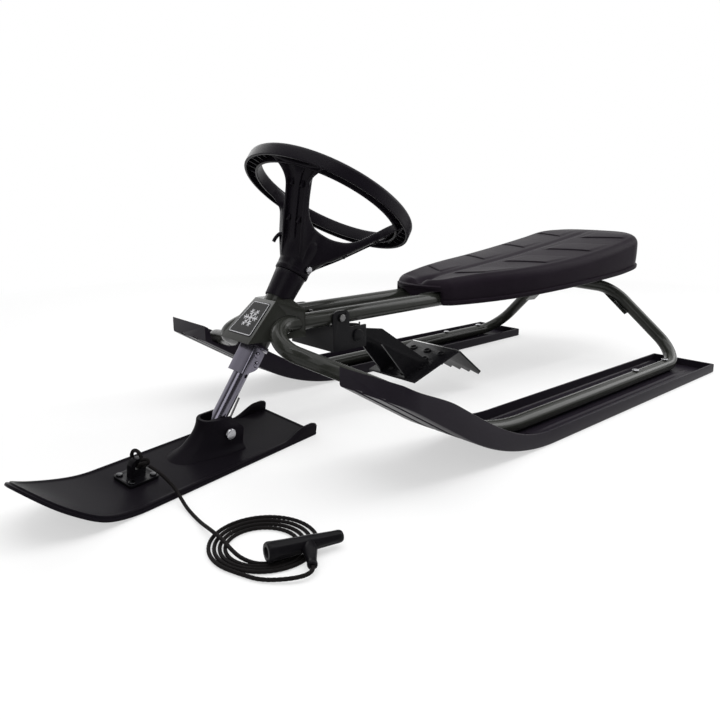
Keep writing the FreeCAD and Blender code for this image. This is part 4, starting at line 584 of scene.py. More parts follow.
def spiderShell(look):
    # the arms' plan is an outline, its upper and lower heights are curves of the radius; rows run from the
    # middle line of the top over the edge, down the flank, across the flange, into the recess and back
    oneSide = spiderOutline(look)
    arm = np.r_[oneSide, (oneSide * [1, -1])[::-1][1:]]
    share = np.clip((arm[:, 0] - oneSide[0, 0]) / (look["spokeTo"] - oneSide[0, 0]), 0, 1)
    line = np.stack([share * look["spokeTo"], np.zeros(len(arm))], 1)
    ahead = np.gradient(arm, axis=0)
    inward = np.stack([-ahead[:, 1], ahead[:, 0]], 1)
    inward = -inward / np.maximum(np.linalg.norm(inward, axis=1, keepdims=True), 1e-9)
    inward[np.abs(arm[:, 0] - look["spokeTo"]) < 0.01] = (-1.0, 0.0)
    flip = np.sum(inward * (line - arm), 1, keepdims=True) < 0
    inward = np.where(flip, -inward, inward)

    def heights(flat):
        # upper and lower height, and the depth of the recess from below
        reach = np.hypot(flat[:, 0], flat[:, 1])
        up = throughStations(reach, look["radii"], look["upper"])
        low = throughStations(reach, look["radii"], look["lower"])
        deep = np.minimum(look["recess"], up - low - look["floorLeast"])
        return up, low, deep * smoothStep(*look["recessFrom"], reach)

    rows = []
    flange = look["flange"]
    for share in np.linspace(0, 1, 9)[:-1]:
        flat = line + (arm + inward * look["edgeRound"][0][0] - line) * share
        rows.append((flat, heights(flat)[0]))
    for inset, drop in look["edgeRound"]:
        flat = arm + inward * inset
        rows.append((flat, heights(flat)[0] - drop))
    for inset, lift in ((0.0, 2.0), (0.4, 0.5), (1.2, 0.0), (flange - 0.5, 0.0), (flange, 0.5)):
        flat = arm + inward * inset
        rows.append((flat, heights(flat)[1] + lift))
    for inset, share in ((flange + 0.3, 0.8), (flange + 0.9, 1.0)):
        flat = arm + inward * inset
        up, low, deep = heights(flat)
        rows.append((flat, low + deep * share))
    inner = arm + inward * (flange + 0.9)
    for across in (0.7, 0.45, 0.34, 0.3, 0.26, 0.12, 0.0):
        flat = line + (inner - line) * across
        up, low, deep = heights(flat)
        ridge = smoothStep(0.36, 0.27, across) * look["ridge"]
        ridge = ridge * smoothStep(*look["ridgeFrom"], flat[:, 0]) * smoothStep(*look["ridgeTo"], flat[:, 0])
        rows.append((flat, low + deep * (1 - ridge)))
    grid = np.stack([np.c_[flat, height] for flat, height in rows])
    spins = [turnAbout(math.radians(angle), "Z") for angle in look["spokeAngles"]]
    return [sheetOf(grid @ spin.T) for spin in spins]


def pinShells(look):
    # two pairs of short hollow pins under each arm
    angle = np.linspace(0, 2 * math.pi, 16, endpoint=False)
    ring = np.array([(1.0, look["pinHeight"]), (1.0, 0.6), (0.75, 0.0), (0.45, 0.0), (0.4, 1.5), (0.0, 1.5)])
    wide = ring[:, :1] * look["pinRadius"]
    shells = []
    for turn in look["spokeAngles"]:
        spin = turnAbout(math.radians(turn), "Z")
        for place in look["pinPlaces"]:
            foot = np.interp(place, look["radii"], look["lower"]) + look["pinSink"]
            for side in (1, -1):
                y = side * look["pinAside"] + wide * np.sin(angle)
                pin = np.stack([place + wide * np.cos(angle), y, foot + ring[:, 1:] + 0 * angle], -1)
                shells.append(sheetOf(pin @ spin.T, wrapCols=True))
    return shells


def hookShell(look):
    # rope hook on the far arm: a round rod along a bent path
    bends = np.array(look["hookPath"])
    at = np.linspace(0, len(bends) - 1, 33)
    path = np.stack([throughStations(at, np.arange(len(bends)), bends[:, k]) for k in range(3)], 1)
    points, faces = tubeShell(path, look["hookRadius"], 16)
    return points @ turnAbout(math.radians(look["spokeAngles"][look["hookSpoke"]]), "Z").T, faces


def makeWheel(look):
    # a spun band with upright ribs in its hollow, the arms with their pins, the hub and the hook
    corner = np.array([look["radius"], look["bandTop"]])
    band = roundedLoop(corner + np.array(look["band"]), look["bandRounds"])
    shells = [spunShell(band, look["around"])]
    ribHalf = look["ribThick"] / 2
    (inner, low), (outer, high) = corner + look["ribFrom"], corner + look["ribTo"]
    points, faces = boxShell((inner, -ribHalf, low), (outer, ribHalf, high))
    for k in range(look["ribs"]):
        shells.append((points @ turnAbout(2 * math.pi * (k + 0.5) / look["ribs"], "Z").T, faces))
    shells += spiderShell(look)
    shells += pinShells(look)
    shells.append(spunShell(look["hub"], 96, closed=False))
    shells.append(hookShell(look))

    def leaned(points):
        # the band's rear stands a little higher than its front; the hub stays square
        points = np.array(points, float)
        reach = np.hypot(points[:, 0], points[:, 1])
        share = 0.5 - 0.5 * points[:, 0] / np.maximum(reach, 1e-6)
        points[:, 2] += look["lean"] * share ** look["leanPower"] * smoothStep(*look["leanFrom"], reach)
        return onColumn(points)

    return addPiece("wheelBody", placed(shells, leaned), "steering",
                    surfaces["wheelPlastic"], sharp=42, merge=2e-6)


wheelBody = makeWheel(wheelLook)
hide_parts("steering_wheel")
print("wheel:", len(wheelBody.data.polygons), "faces")


# Sleeve under the hub: a taper whose skirt hangs over the head tube's end

sleeveLook = dict(around=96, profile=(
    (12.9, 206.0), (12.9, 222.0), (20.6, 222.0), (21.2, 221.0), (20.5, 212.0), (19.8, 202.0), (19.2, 192.0),
    (18.8, 184.6), (18.6, 184.0), (18.3, 184.0), (18.1, 184.6), (18.1, 198.6), (15.0, 198.6), (14.6, 206.0)))
sleeveShells = [spunShell(sleeveLook["profile"], sleeveLook["around"])]
sleevePiece = addPiece("columnSleeve", placed(sleeveShells, onColumn), "steering",
                       surfaces["wheelPlastic"], sharp=42)
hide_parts("column_sleeve")


# Runners: trays bent up at the front, with rims, floor beads, tread ribs and grooves under the sole

runnerLook = dict(
    inner=154.0, width=110.0, floor=4.0, wall=3.5, rimRear=16.0, rimFront=20.0, bend=510.0, radius=351.0,
    rise=31.0, tip=793.0, step=1.6, corner=2.4, groove=2.0, grooveHalf=7.0, grooveShares=(0.3, 0.7),
    ribs=13, ribHeight=2.0, ribHalf=1.5, bead=1.3, tubeRoom=15.0, wallRoom=4.0,
    outerBeads=(0.25, 0.55, 0.85), innerBeads=(0.15, 0.45, 0.75),
    notchFrom=751.0, notchLength=40.0, notchDepth=15.6, noseLength=22.0, noseCut=9.0, noseSlide=90.0,
    rearMore=7.0, rearFrom=120.0, bendRim=9.5, bendRimFrom=(540.0, 690.0), bendRimEnd=(4.0, 80.0),
)


def runnerBase(at, look):
    # length along the sole: flat, then round the bend, then straight up the slope
    rise = math.radians(look["rise"])
    turn = np.clip((at - look["bend"]) / look["radius"], 0, rise)
    over = np.maximum(at - look["bend"] - look["radius"] * rise, 0)
    x = np.minimum(at, look["bend"]) + look["radius"] * np.sin(turn) + over * math.cos(rise)
    z = look["radius"] * (1 - np.cos(turn)) + over * math.sin(rise)
    return x, z, turn


def makeRunner(name, side, look):
    # a cross section of offsets across and above the sole, carried along the sole's line
    bend, wall, width, corner = (look[key] for key in ("bend", "wall", "width", "corner"))
    rise = math.radians(look["rise"])
    arc = look["radius"] * rise
    slope = (look["tip"] - bend - look["radius"] * math.sin(rise)) / math.cos(rise)
    full = bend + arc + slope
    # stations at even steps, with closer ones at the walls of both ends
    at = np.arange(0, full, look["step"])
    ends = np.array([0.0, 0.4, wall - 0.5, wall, wall + 0.6])
    at = np.unique(np.round(np.r_[at[at > 5], ends, full - ends], 4))
    at = at[(at < 5) == np.isin(at, np.round(ends, 4))]
    x, z, turn = runnerBase(at, look)
    zero = np.zeros_like(at)
    inside = ((at > wall - 0.2) & (at < full - wall + 0.2)).astype(float)

    # the rim grows along the flat and stands taller round the bend; the deck closes up at both ends
    rim = look["rimRear"] + (look["rimFront"] - look["rimRear"]) * np.clip(at / bend, 0, 1)
    taller = smoothStep(full - look["bendRimEnd"][0], full - look["bendRimEnd"][1], at)
    rim = rim + look["bendRim"] * smoothStep(*look["bendRimFrom"], at) * taller
    deck = look["floor"] + (rim - look["floor"]) * (1 - inside)

    # ribs across the bend, beads along the flat, and a notch in the inner rim near the tip
    pitch = arc / look["ribs"]
    nearRib = np.abs((at - bend) / pitch % 1 - 0.5) * pitch
    onBend = (at > bend) & (at < bend + arc)
    rib = look["ribHeight"] * smoothStep(look["ribHalf"] + 0.9, look["ribHalf"] - 0.7, nearRib) * onBend
    bead = look["bead"] * smoothStep(20, 60, at) * smoothStep(bend - 5, bend - 40, at)
    notchAt = full - slope + (look["notchFrom"] - runnerBase(full - slope, look)[0]) / math.cos(rise)
    notchEnd = notchAt + look["notchLength"]
    notch = smoothStep(notchAt - 5, notchAt + 3, at) * smoothStep(notchEnd + 3, notchEnd - 5, at)
    low = rim - notch * look["notchDepth"]

    def deckStrip(start, end, places):
        # a strip of the deck from its outer to its inner edge, with its ribs and beads
        crest = deck + np.maximum(rib, bead * inside)
        rows = [(start + 0.3, deck), (start, deck + rib)]
        for place in places:
            mid = start + (end - start) * place
            rows += [(mid + 2.4, deck + rib), (mid + 0.7, crest), (mid - 0.7, crest), (mid - 2.4, deck + rib)]
        return rows + [(end, deck + rib), (end - 0.3, deck)]

    section = []
    for share in look["grooveShares"]:
        mid, half = share * width, look["grooveHalf"]
        section += [(mid - half - 0.8, zero), (mid - half + 0.6, zero + look["groove"]),
                    (mid + half - 0.6, zero + look["groove"]), (mid + half + 0.8, zero)]
    section += [(width - corner, zero), (width - corner * 0.3, zero + corner * 0.3), (width, zero + corner),
                (width, rim - 1.2), (width - 0.4, rim - 0.35), (width - 1.3, rim), (width - wall + 1.0, rim),
                (width - wall + 0.2, rim - 0.4), (width - wall, np.maximum(rim - 1.2, deck)),
                (width - wall - 0.1, deck + 1.6 * inside), (width - wall - 1.6, deck)]
    room, middle = look["tubeRoom"], width / 2
    section += deckStrip(width - wall - look["wallRoom"], middle + room, look["outerBeads"])
    section += deckStrip(middle - room, wall + look["wallRoom"], look["innerBeads"])
    section += [(wall + 1.6, np.minimum(deck, low)), (wall + 0.1, np.minimum(deck + 1.6 * inside, low)),
                (wall, np.minimum(np.maximum(rim - 1.2, deck), low)),
                (wall - 0.2, np.minimum(rim - 0.4, low)), (wall - 1.0, low), (1.3, low), (0.4, low - 0.35),
                (0.0, low - 1.2), (0.0, zero + corner), (corner * 0.3, zero + corner * 0.3), (corner, zero)]

    # the front end is cut upright: offsets slide along the slope there
    slide = math.tan(rise) * smoothStep(full - look["noseSlide"], full, at)
    # the outer front corner is a quarter of an ellipse in plan
    nose = np.clip(1 - (full - at) / look["noseLength"], 0, 1)
    cut = look["noseCut"] * (1 - np.sqrt(1 - nose**2))
    x = x - look["rearMore"] * smoothStep(look["rearFrom"], 0, at)
    columns = []
    for across, above in section:
        along = above * slide
        across = across - cut * smoothStep(24, 100, across)
        columns.append(np.stack([x - above * np.sin(turn) + along * np.cos(turn),
                                 side * (look["inner"] + across) + zero,
                                 z + above * np.cos(turn) + along * np.sin(turn)], -1))
    shell = sheetOf(fromRear(np.stack(columns, 1)), wrapCols=True, capRows=True)
    return addPiece(name, [shell], "frame", surfaces["runnerPlastic"], sharp=38)


for name, node, side in (("runnerNear", "runner_left", 1), ("runnerFar", "runner_right", -1)):
    runnerPiece = makeRunner(name, side, runnerLook)
    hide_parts(node)
print("runners:", len(runnerPiece.data.polygons), "faces each")


# Ski: a thin board with a stepped edge, a turned-up tip, tail ears and a hollow tower

skiLook = dict(
    half=53.0, aside=9.0, tail=-135.0, flat=146.0, tip=263.2, tipRise=48.0, drop=31.479,
    tipLength=67.6, tipAhead=38.0, tipBack=2.0, tipWide=0.74, tipSkew=0.15, skewFrom=(180.0, 240.0),
    spineTail=40.0, spineTip=52.0,
    edge=((1.6, 0.0), (0.5, 0.35), (0.0, 1.2), (0.0, 3.0), (0.4, 3.5), (1.9, 3.7), (2.2, 4.1), (2.4, 5.6),
          (3.0, 6.0), (4.0, 6.1), (5.4, 6.0), (6.6, 5.4), (8.0, 5.1)),
    earLength=22.0, earTaper=50.0, earHeight=18.0, earHalf=4.0, earInset=4.6, earRound=3.0, earFoot=2.0,
    towerFoot=4.6, towerHeight=42.88, towerFront=26.0, towerSweep=44.0, towerRound=13.5, towerSpread=9.0,
    towerRear=-25.0, towerLean=13.0, towerNear=28.0, towerFar=-14.0, towerSkirt=6.0, towerDraw=9.0,
    towerLip=0.9, boreAt=10.8, boreRadius=10.4, towerWall=3.5,
)


def skiPoint(x, y, above, look):
    # flat underside, then one arc up to the tip; heights are square to it
    run = look["tip"] - look["flat"]
    radius = (run**2 + look["tipRise"] ** 2) / (2 * look["tipRise"])
    turn = np.arcsin(np.clip((x - look["flat"]) / radius, 0, 0.99))
    z = radius * (1 - np.cos(turn)) - look["drop"]
    skew = look["tipSkew"] * y * smoothStep(*look["skewFrom"], x)
    return np.stack([x - skew - above * np.sin(turn), y + look["aside"] + 0 * x,
                     z + above * np.cos(turn)], -1)


def skiBoard(look):
    # the plan's outline is a rounded loop; rows run from the middle of the underside round the stepped edge
    # to the middle of the top
    half, tip, rear = look["half"], look["tip"], look["tail"]
    t = np.linspace(0, 1, 90)[:, None]
    # the tip's corner is a cubic curve between the straight side and the middle of the tip
    side = tip - look["tipLength"]
    tipCurve = ((1 - t) ** 3 * [[side, half]] + 3 * t * (1 - t) ** 2 * [[side + look["tipAhead"], half]]
                + 3 * t**2 * (1 - t) * [[tip - look["tipBack"], half * look["tipWide"]]]
                + t**3 * [[tip, 0.0]])
    body = np.stack([np.linspace(rear, side, 200), np.full(200, half)], 1)
    tail = np.stack([np.full(40, rear), np.linspace(0.5, half - 0.7, 40)], 1)
    left = np.r_[tail, body[1:], tipCurve[1:]]
    outline = np.r_[left, (left * [1, -1])[::-1][1:-1]]
    spineX = np.clip(outline[:, 0], rear + look["spineTail"], tip - look["spineTip"])
    spine = np.stack([spineX, np.zeros(len(outline))], 1)
    inward = spine - outline
    inward /= np.linalg.norm(inward, axis=1, keepdims=True)
    atTail = outline[:, 0] < rear + 0.01
    square = np.stack([np.where(atTail, 1.0, 0.0), np.where(atTail, 0.0, -np.sign(outline[:, 1]))], 1)
    turned = smoothStep(side - 20, side + 30, outline[:, 0])[:, None]
    inward = square * (1 - turned) + inward * turned

    def drawnIn(inset):
        # the outline moved inward; the square tail keeps mitred corners
        flat = outline + inward * inset
        straight = outline[:, 0] < side - 20
        limit = np.where(straight, half - inset, half)
        return np.stack([np.maximum(flat[:, 0], rear + inset), np.clip(flat[:, 1], -limit, limit)], 1)

    rows = []
    sole, deck = look["edge"][0], look["edge"][-1]
    for share in np.linspace(0, 1, 8)[:-1]:
        flat = spine + (drawnIn(sole[0]) - spine) * share
        rows.append(skiPoint(flat[:, 0], flat[:, 1], sole[1], look))
    for inset, above in look["edge"]:
        flat = drawnIn(inset)
        rows.append(skiPoint(flat[:, 0], flat[:, 1], above, look))
    inner = drawnIn(deck[0])
    for share in np.linspace(1, 0, 22)[1:]:
        flat = spine + (inner - spine) * share
        rows.append(skiPoint(flat[:, 0], flat[:, 1], deck[1], look))
    return sheetOf(onSki(np.stack(rows)), wrapCols=True)


def skiEar(side, look):
    # an upright flange at a tail corner, its top rounded, its height falling off to the front
    tail, foot, bend = look["tail"], look["earFoot"], look["earRound"]
    reach = look["earLength"] + look["earTaper"]
    x = tail + 0.6 + np.linspace(0, 1, 60) * reach
    fall = smoothStep(tail + reach, tail + look["earLength"] - 4, x) ** 1.6
    fall = fall * (0.86 + 0.14 * smoothStep(tail, tail + 7, x))
    height = 5.2 + (look["earHeight"] - 5.4) * fall
    angle = np.linspace(0, math.pi, 13)
    across = look["earHalf"] * np.r_[1.0, np.cos(angle), -1.0]
    lift = np.r_[0.0, np.sin(angle), 0.0][None, :]
    raised = np.r_[0.0, np.ones(13), 0.0][None, :]
    above = foot + (height - foot - bend)[:, None] * raised + bend * lift
    y = side * (look["half"] - look["earInset"]) + across
    grid = skiPoint(x[:, None] + 0 * across, y[None, :] + 0 * x[:, None], above, look)
    return sheetOf(onSki(grid), wrapCols=True, capRows=True)


def skiTower(look):
    # level sections shaped like a rounded U, open to the rear; a collar round the fork's tube leads the
    # front, which sweeps down to the board along a hollow curve, and the near wall swings out for the bolt
    high, wall = look["towerHeight"], look["towerWall"]
    levels = np.r_[np.linspace(0, 1, 30) ** 1.3 * (high - 1.88), high - 0.88, high - 0.28, high]
    z = -look["drop"] + look["towerFoot"] + levels
    up = np.clip(levels / high, 0, 1)
    lip = look["towerLip"] * smoothStep(0.965, 1.0, up)
    skirt = look["towerSkirt"] * (1 - smoothStep(0.0, 0.3, up)) ** 2
    front = look["towerFront"] + look["towerSweep"] * (1 - up) ** 2.4 - lip
    radius = look["towerRound"] + look["towerSpread"] * (1 - up) ** 2.2 - lip
    rear = look["towerRear"] + look["towerLean"] * smoothStep(0.6, 1.0, up)
    near = look["towerNear"] + skirt - look["towerDraw"] * smoothStep(0.72, 1.0, up) - lip
    far = look["towerFar"] - skirt + lip
    middle = front - radius
    columns = []

    def column(x, y):
        columns.append(np.stack([x + 0 * z, y + 0 * z, z], -1))

    column(rear, near)
    column(0.75 * rear + 4.0, near)
    swing = rear * 0.4 + 6
    for share in np.linspace(0.15, 1, 5)[:-1]:
        column(swing + (middle + radius * 0.55 - swing) * share, near + (radius * 0.83 - near) * share**1.4)
    for angle in np.linspace(math.radians(56), math.radians(-80), 15):
        wide = -far if angle < 0 else radius
        column(middle + radius * math.cos(angle), wide * math.sin(angle))
    column(middle * 0.5, far)
    column(rear, far)
    bore = look["boreRadius"]
    column(rear, -bore)
    for angle in np.linspace(math.radians(-80), math.radians(50), 13):
        column(look["boreAt"] + bore * math.cos(angle), bore * math.sin(angle))
    column(4.0, near - wall - 5.0)
    column(0.6 * rear, near - wall - 0.5)
    column(rear, near - wall)
    return sheetOf(onSki(np.stack(columns, 1)), wrapCols=True, capRows=True)


skiShells = [skiBoard(skiLook), skiEar(1, skiLook), skiEar(-1, skiLook), skiTower(skiLook)]
skiBody = addPiece("skiBoard", skiShells, "ski_foot", surfaces["skiPlastic"],
                   sharp=40, merge=2e-5)
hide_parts("ski")
print("ski:", len(skiBody.data.polygons), "faces")


# Rope handle: a fluted grip that tapers, with a hollow wide end and a boss for the cord

handleLook = dict(
    wideEnd=(970.0, 257.6, 14.3), way=(-0.974, 0.226), length=78.0, wide=9.5, thin=6.0, thinUp=4.8,
    bore=4.5, boreDepth=28.0, flutes=8, fluteDepth=0.35, bossAt=0.54, bossWay=(0.5, 0.82, -0.15),
    bossPlaces=(0.0, 8.0, 11.0, 14.0, 20.0, 25.0, 27.0, 28.5, 30.0, 31.4, 31.9, 31.9, 24.0),
    bossRadii=(6.6, 6.9, 7.0, 6.5, 5.4, 4.7, 4.6, 4.9, 4.9, 4.5, 3.6, 2.5, 2.4),
)


def roundGrid(start, axis, side, along, radius):
    # rings round an axis, at a length along it; the radius is a row for each ring
    lift = np.cross(side, axis)
    angle = np.linspace(0, 2 * math.pi, radius.shape[1], endpoint=False)[:, None]
    ring = side * np.cos(angle) + lift * np.sin(angle)
    return start + axis * along[:, None, None] + radius[..., None] * ring[None]


def makeHandle(look):
    # radius along the grip from wide to thin end, both ends rounded, shallow flutes round it
    start = np.array(look["wideEnd"])
    run = start[:2] + unit(look["way"]) * look["length"]
    end = np.array([*run, look["thinUp"] + look["thin"]])
    size = np.linalg.norm(end - start)
    axis = unit(end - start)
    t = np.r_[0.0, 0.012, 0.03, np.linspace(0.05, 0.94, 60), 0.965, 0.985, 0.996, 1.0]
    cut = np.r_[0.88, 0.96, 1.0, np.ones(60), 0.97, 0.86, 0.62, 0.0]
    radius = (look["wide"] + (look["thin"] - look["wide"]) * t) * cut
    angle = np.linspace(0, 2 * math.pi, 96, endpoint=False)
    flute = smoothStep(0.06, 0.12, t) * smoothStep(0.5, 0.44, t)
    flute = look["fluteDepth"] * (flute + smoothStep(0.6, 0.66, t) * smoothStep(0.93, 0.86, t))
    radius = radius[:, None] - flute[:, None] * (0.5 - 0.5 * np.cos(look["flutes"] * angle))[None, :]
    # the hollow runs from its floor out to the wide end
    hollowT = np.r_[look["boreDepth"] / size, look["boreDepth"] / size, 0.012, 0.0]
    hollowR = np.array([0.0, look["bore"] - 0.4, look["bore"], look["bore"] + 0.7])
    t = np.r_[hollowT, t]
    radius = np.r_[hollowR[:, None] + 0 * angle, radius]
    grip = roundGrid(start, axis, unit(np.cross(axis, [0.0, 0.0, 1.0])), t * size, radius)
    # the boss stands out sideways and takes the cord's end
    bossWay = unit(look["bossWay"])
    root = start + (end - start) * look["bossAt"]
    bossRadius = np.tile(np.array(look["bossRadii"])[:, None], 48)
    boss = roundGrid(root, bossWay, unit(np.cross(bossWay, axis)), np.array(look["bossPlaces"]), bossRadius)
    shells = [sheetOf(fromRear(grip), wrapCols=True), sheetOf(fromRear(boss), wrapCols=True, capRows=True)]
    return addPiece("ropeHandle", shells, "ski_foot", surfaces["gripPlastic"],
                    sharp=40, merge=1e-5)


towHandle = makeHandle(handleLook)
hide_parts("rope_handle")
print("rope handle:", len(towHandle.data.polygons), "faces")


# Rope loop through the eyelet, closed by a wound knot

knotLook = dict(hole=(120.0, 4.0, -10.479), loop=9.2, cord=2.25, knotRadius=6.5, knotAside=4.55,
                around=14, strands=2, braidPitch=11.0, braidDepth=0.14, away=(0.31, 0.83, 0.46))


def lengthAlong(path):
    return np.r_[0, np.cumsum(np.linalg.norm(np.diff(path, axis=0), axis=1))]


def braidShares(along, look):
    # two sets of strands wind opposite ways and bulge where they show
    angle = np.linspace(0, 2 * math.pi, look["around"], endpoint=False) * look["strands"]
    wind = 2 * math.pi * along[:, None] / look["braidPitch"]
    braid = np.maximum(np.abs(np.cos(angle + wind)), np.abs(np.cos(angle - wind)))
    return 1 - look["braidDepth"] * (1 - braid)


def makeKnot(look):
    # the loop is a circle through the hole; the knot is a line that winds three times about and twice round
    # a ring
    middle = np.array(look["hole"]) + [0, 0, look["loop"]]
    angle = np.linspace(0, 2 * math.pi, 90, endpoint=False)[:, None]
    loop = middle + look["loop"] * (np.cos(angle) * [0, 1, 0] + np.sin(angle) * [0, 0, 1])
    at = middle + [0, look["loop"] + look["knotAside"], 0]
    turn = np.linspace(0, 2 * math.pi, 200, endpoint=False)[:, None]
    reach = look["knotRadius"] - look["cord"] * 0.9
    wide = reach * (0.62 + 0.36 * np.cos(3 * turn))
    knot = at + wide * np.cos(2 * turn) * [1, 0, 0] + wide * np.sin(2 * turn) * [0, 0.3, 0.95] + (
        reach * 0.55 * np.sin(3 * turn) * [0, 0.95, -0.3])
    shells = []
    for path in (onSki(loop), onSki(knot)):
        radius = look["cord"] / 1000 * braidShares(lengthAlong(path) * 1000, look)
        shells.append(tubeShell(path, radius, look["around"], True, look["away"]))
    return addPiece("ropeKnot", shells, "ski_foot", surfaces["cordFibre"], sharp=60)


towKnot = makeKnot(knotLook)
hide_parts("rope_knot")


# Label: a thin plate with rounded corners, a pale border and a plain snow crystal

labelLook = dict(top=(788.0, 0.0, 194.0), foot=(838.0, 0.0, 147.0), topHalf=23.0, footHalf=33.0, margin=5.0,
                 corner=4.0, thick=0.8, rows=150, cols=110, border=1.9, line=0.9, crystal=15.0,
                 branches=(0.42, 0.68), branchReach=0.24)


def makeLabel(look):
    # plane coordinates run down the slope and across it; the plate's rows end in a small rounded edge
    top, foot = np.array(look["top"]), np.array(look["foot"])
    size = np.linalg.norm(foot - top)
    way = (foot - top) / size
    out = np.array([-way[2], 0, way[0]])
    first, last = look["margin"], size - 2 * look["margin"]
    down = np.linspace(first, last, look["rows"])[:, None]
    half = look["topHalf"] + (look["footHalf"] - look["topHalf"]) * down / size - look["margin"]
    share = np.linspace(-1, 1, look["cols"])[None, :]
    across = share * half
    endGap = np.minimum(down - first, last - down) + 0 * share
    sideGap = half - np.abs(across)
    corner = look["corner"]
    gap = np.where((endGap < corner) & (sideGap < corner),
                   corner - np.hypot(corner - endGap, corner - sideGap), np.minimum(endGap, sideGap))
    # corners are pulled in onto their arc
    pull = np.clip(-gap, 0, None) * 0.75
    across = across - np.sign(across) * pull
    down = down + np.where(down < size / 2, 1, -1) * pull
    rise = look["thick"] * smoothStep(-0.1, 0.5, gap)
    flat = top + way * down[..., None] + np.array([0, 1, 0]) * across[..., None]
    shells = [sheetOf(fromRear(flat + out * (rise + 0.05)[..., None])), sheetOf(fromRear(flat + out * 0.03))]
    label = addPiece("labelPlate", shells, "frame", surfaces["labelFilm"], sharp=50, merge=1e-7)
    # the pale marks, as one value per point: the border line and six arms with slanting branches
    right, below = across, down - (first + last) / 2
    radius, angle = np.hypot(right, below), np.arctan2(below, right)
    wedge = np.abs((angle + math.pi / 6) % (math.pi / 3) - math.pi / 6)
    along, aside = radius * np.cos(wedge), radius * np.sin(wedge)
    onArm = along < look["crystal"]
    mark = smoothStep(1.0, 0.55, aside) * onArm
    for at in look["branches"]:
        fork = np.abs((along - at * look["crystal"]) * 0.866 - aside * 0.575)
        near = aside < look["crystal"] * look["branchReach"]
        mark = np.maximum(mark, smoothStep(0.95, 0.5, fork) * near * onArm)
    edge = smoothStep(look["line"] / 2 + 0.25, look["line"] / 2 - 0.15, np.abs(gap - look["border"]))
    mark = np.maximum(mark, edge) * (gap > 0.3)
    values = np.zeros(len(label.data.vertices))
    values[: mark.size] = mark.ravel()
    addLayer(label, "paleMark", values)
    return label


labelPiece = makeLabel(labelLook)
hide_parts("label_plate")
print("label:", len(labelPiece.data.polygons), "faces")


# Fork bracket: a folded cap round the fork's tube, with rounded ears, and its rivets

forkLook = dict(front=13.0, rear=-9.0, half=14.6, sheet=2.5, head=112.0, foot=74.0, earFoot=84.0, fold=4.0,
                headRound=3.5, footRound=5.0, rivets=((-2.5, 93.0), (4.0, 104.0)), rivetRadius=4.6,
                rivetRise=2.0, rivetSink=0.4)


def forkPath(half, front, fold, look):
    # half of a U from the ear's end round the fold to the middle of the front, then its mirror image
    angle = np.linspace(0, math.pi / 2, 7)
    rear = look["rear"]
    ends = [(rear, half), (rear + 3, half), (rear + 7, half), (0.0, half), (front - fold - 2, half)]
    bend = [(front - fold + fold * math.sin(a), half - fold + fold * math.cos(a)) for a in angle]
    near = ends + bend + [(front, half * 0.3), (front, 0.0)]
    return np.array(near + [(x, -y) for x, y in near[::-1][1:]])


def makeFork(look):
    # a plan section shaped like a U with rounded folds; its lower edge rises towards the rear ends
    front, sheet, fold = look["front"], look["sheet"], look["fold"]
    outer = forkPath(look["half"], front, fold, look)
    inner = forkPath(look["half"] - sheet, front - sheet, fold - sheet, look)
    section = np.r_[outer, inner[::-1]]
    t = np.linspace(0, 1, 40)[:, None]
    back = np.clip((front - 3 - section[:, 0]) / (front - 3 - look["rear"]), 0, 1)[None, :]
    foot = look["foot"] + (look["earFoot"] - look["foot"]) * smoothStep(0.0, 0.9, back)
    foot = foot + look["footRound"] * back**10
    head = look["head"] - look["headRound"] * back**8
    height = foot + (head - foot) * t
    grid = np.stack([section[None, :, 0] + 0 * height, section[None, :, 1] + 0 * height, height], -1)
    # the cap's top, a plate with its rim turned down
    top = np.r_[outer * 0.985, [[look["rear"] + 1.0, 0.0]]]
    levels = look["head"] - np.array([2.5, 0.7, 0.1])[:, None]
    inset = np.array([0.97, 0.985, 0.95])[:, None]
    plate = np.stack([top[None, :, 0] * inset, top[None, :, 1] * inset, levels + 0 * top[None, :, 0]], -1)
    shells = [sheetOf(points, wrapCols=True, capRows=True) for points in (grid, plate)]
    return addPiece("forkBracket", placed(shells, onColumn), "steering",
                    surfaces["platedSteel"], sharp=40)


def makeRivets(look):
    # domed heads: the radius follows a quarter circle over the height
    angle = np.linspace(0, 2 * math.pi, 28, endpoint=False)
    bend = np.linspace(0, math.pi / 2, 8)[:, None]
    radius = look["rivetRadius"] * np.cos(bend)
    sink = look["rivetSink"]
    shells = []
    for x, up in look["rivets"]:
        for side in (1, -1):
            out = side * (look["half"] - sink + (look["rivetRise"] + sink) * np.sin(bend))
            grid = np.stack([x + radius * np.cos(angle), out + 0 * angle, up + radius * np.sin(angle)], -1)
            shells.append(sheetOf(grid, wrapCols=True))
    return addPiece("forkRivetHeads", placed(shells, onColumn), "steering",
                    surfaces["platedSteel"], sharp=50, merge=1e-5)


forkPiece = makeFork(forkLook)
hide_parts("fork_bracket")
rivetPiece = makeRivets(forkLook)
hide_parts("fork_rivets")
print("fork bracket:", len(forkPiece.data.polygons), "faces")


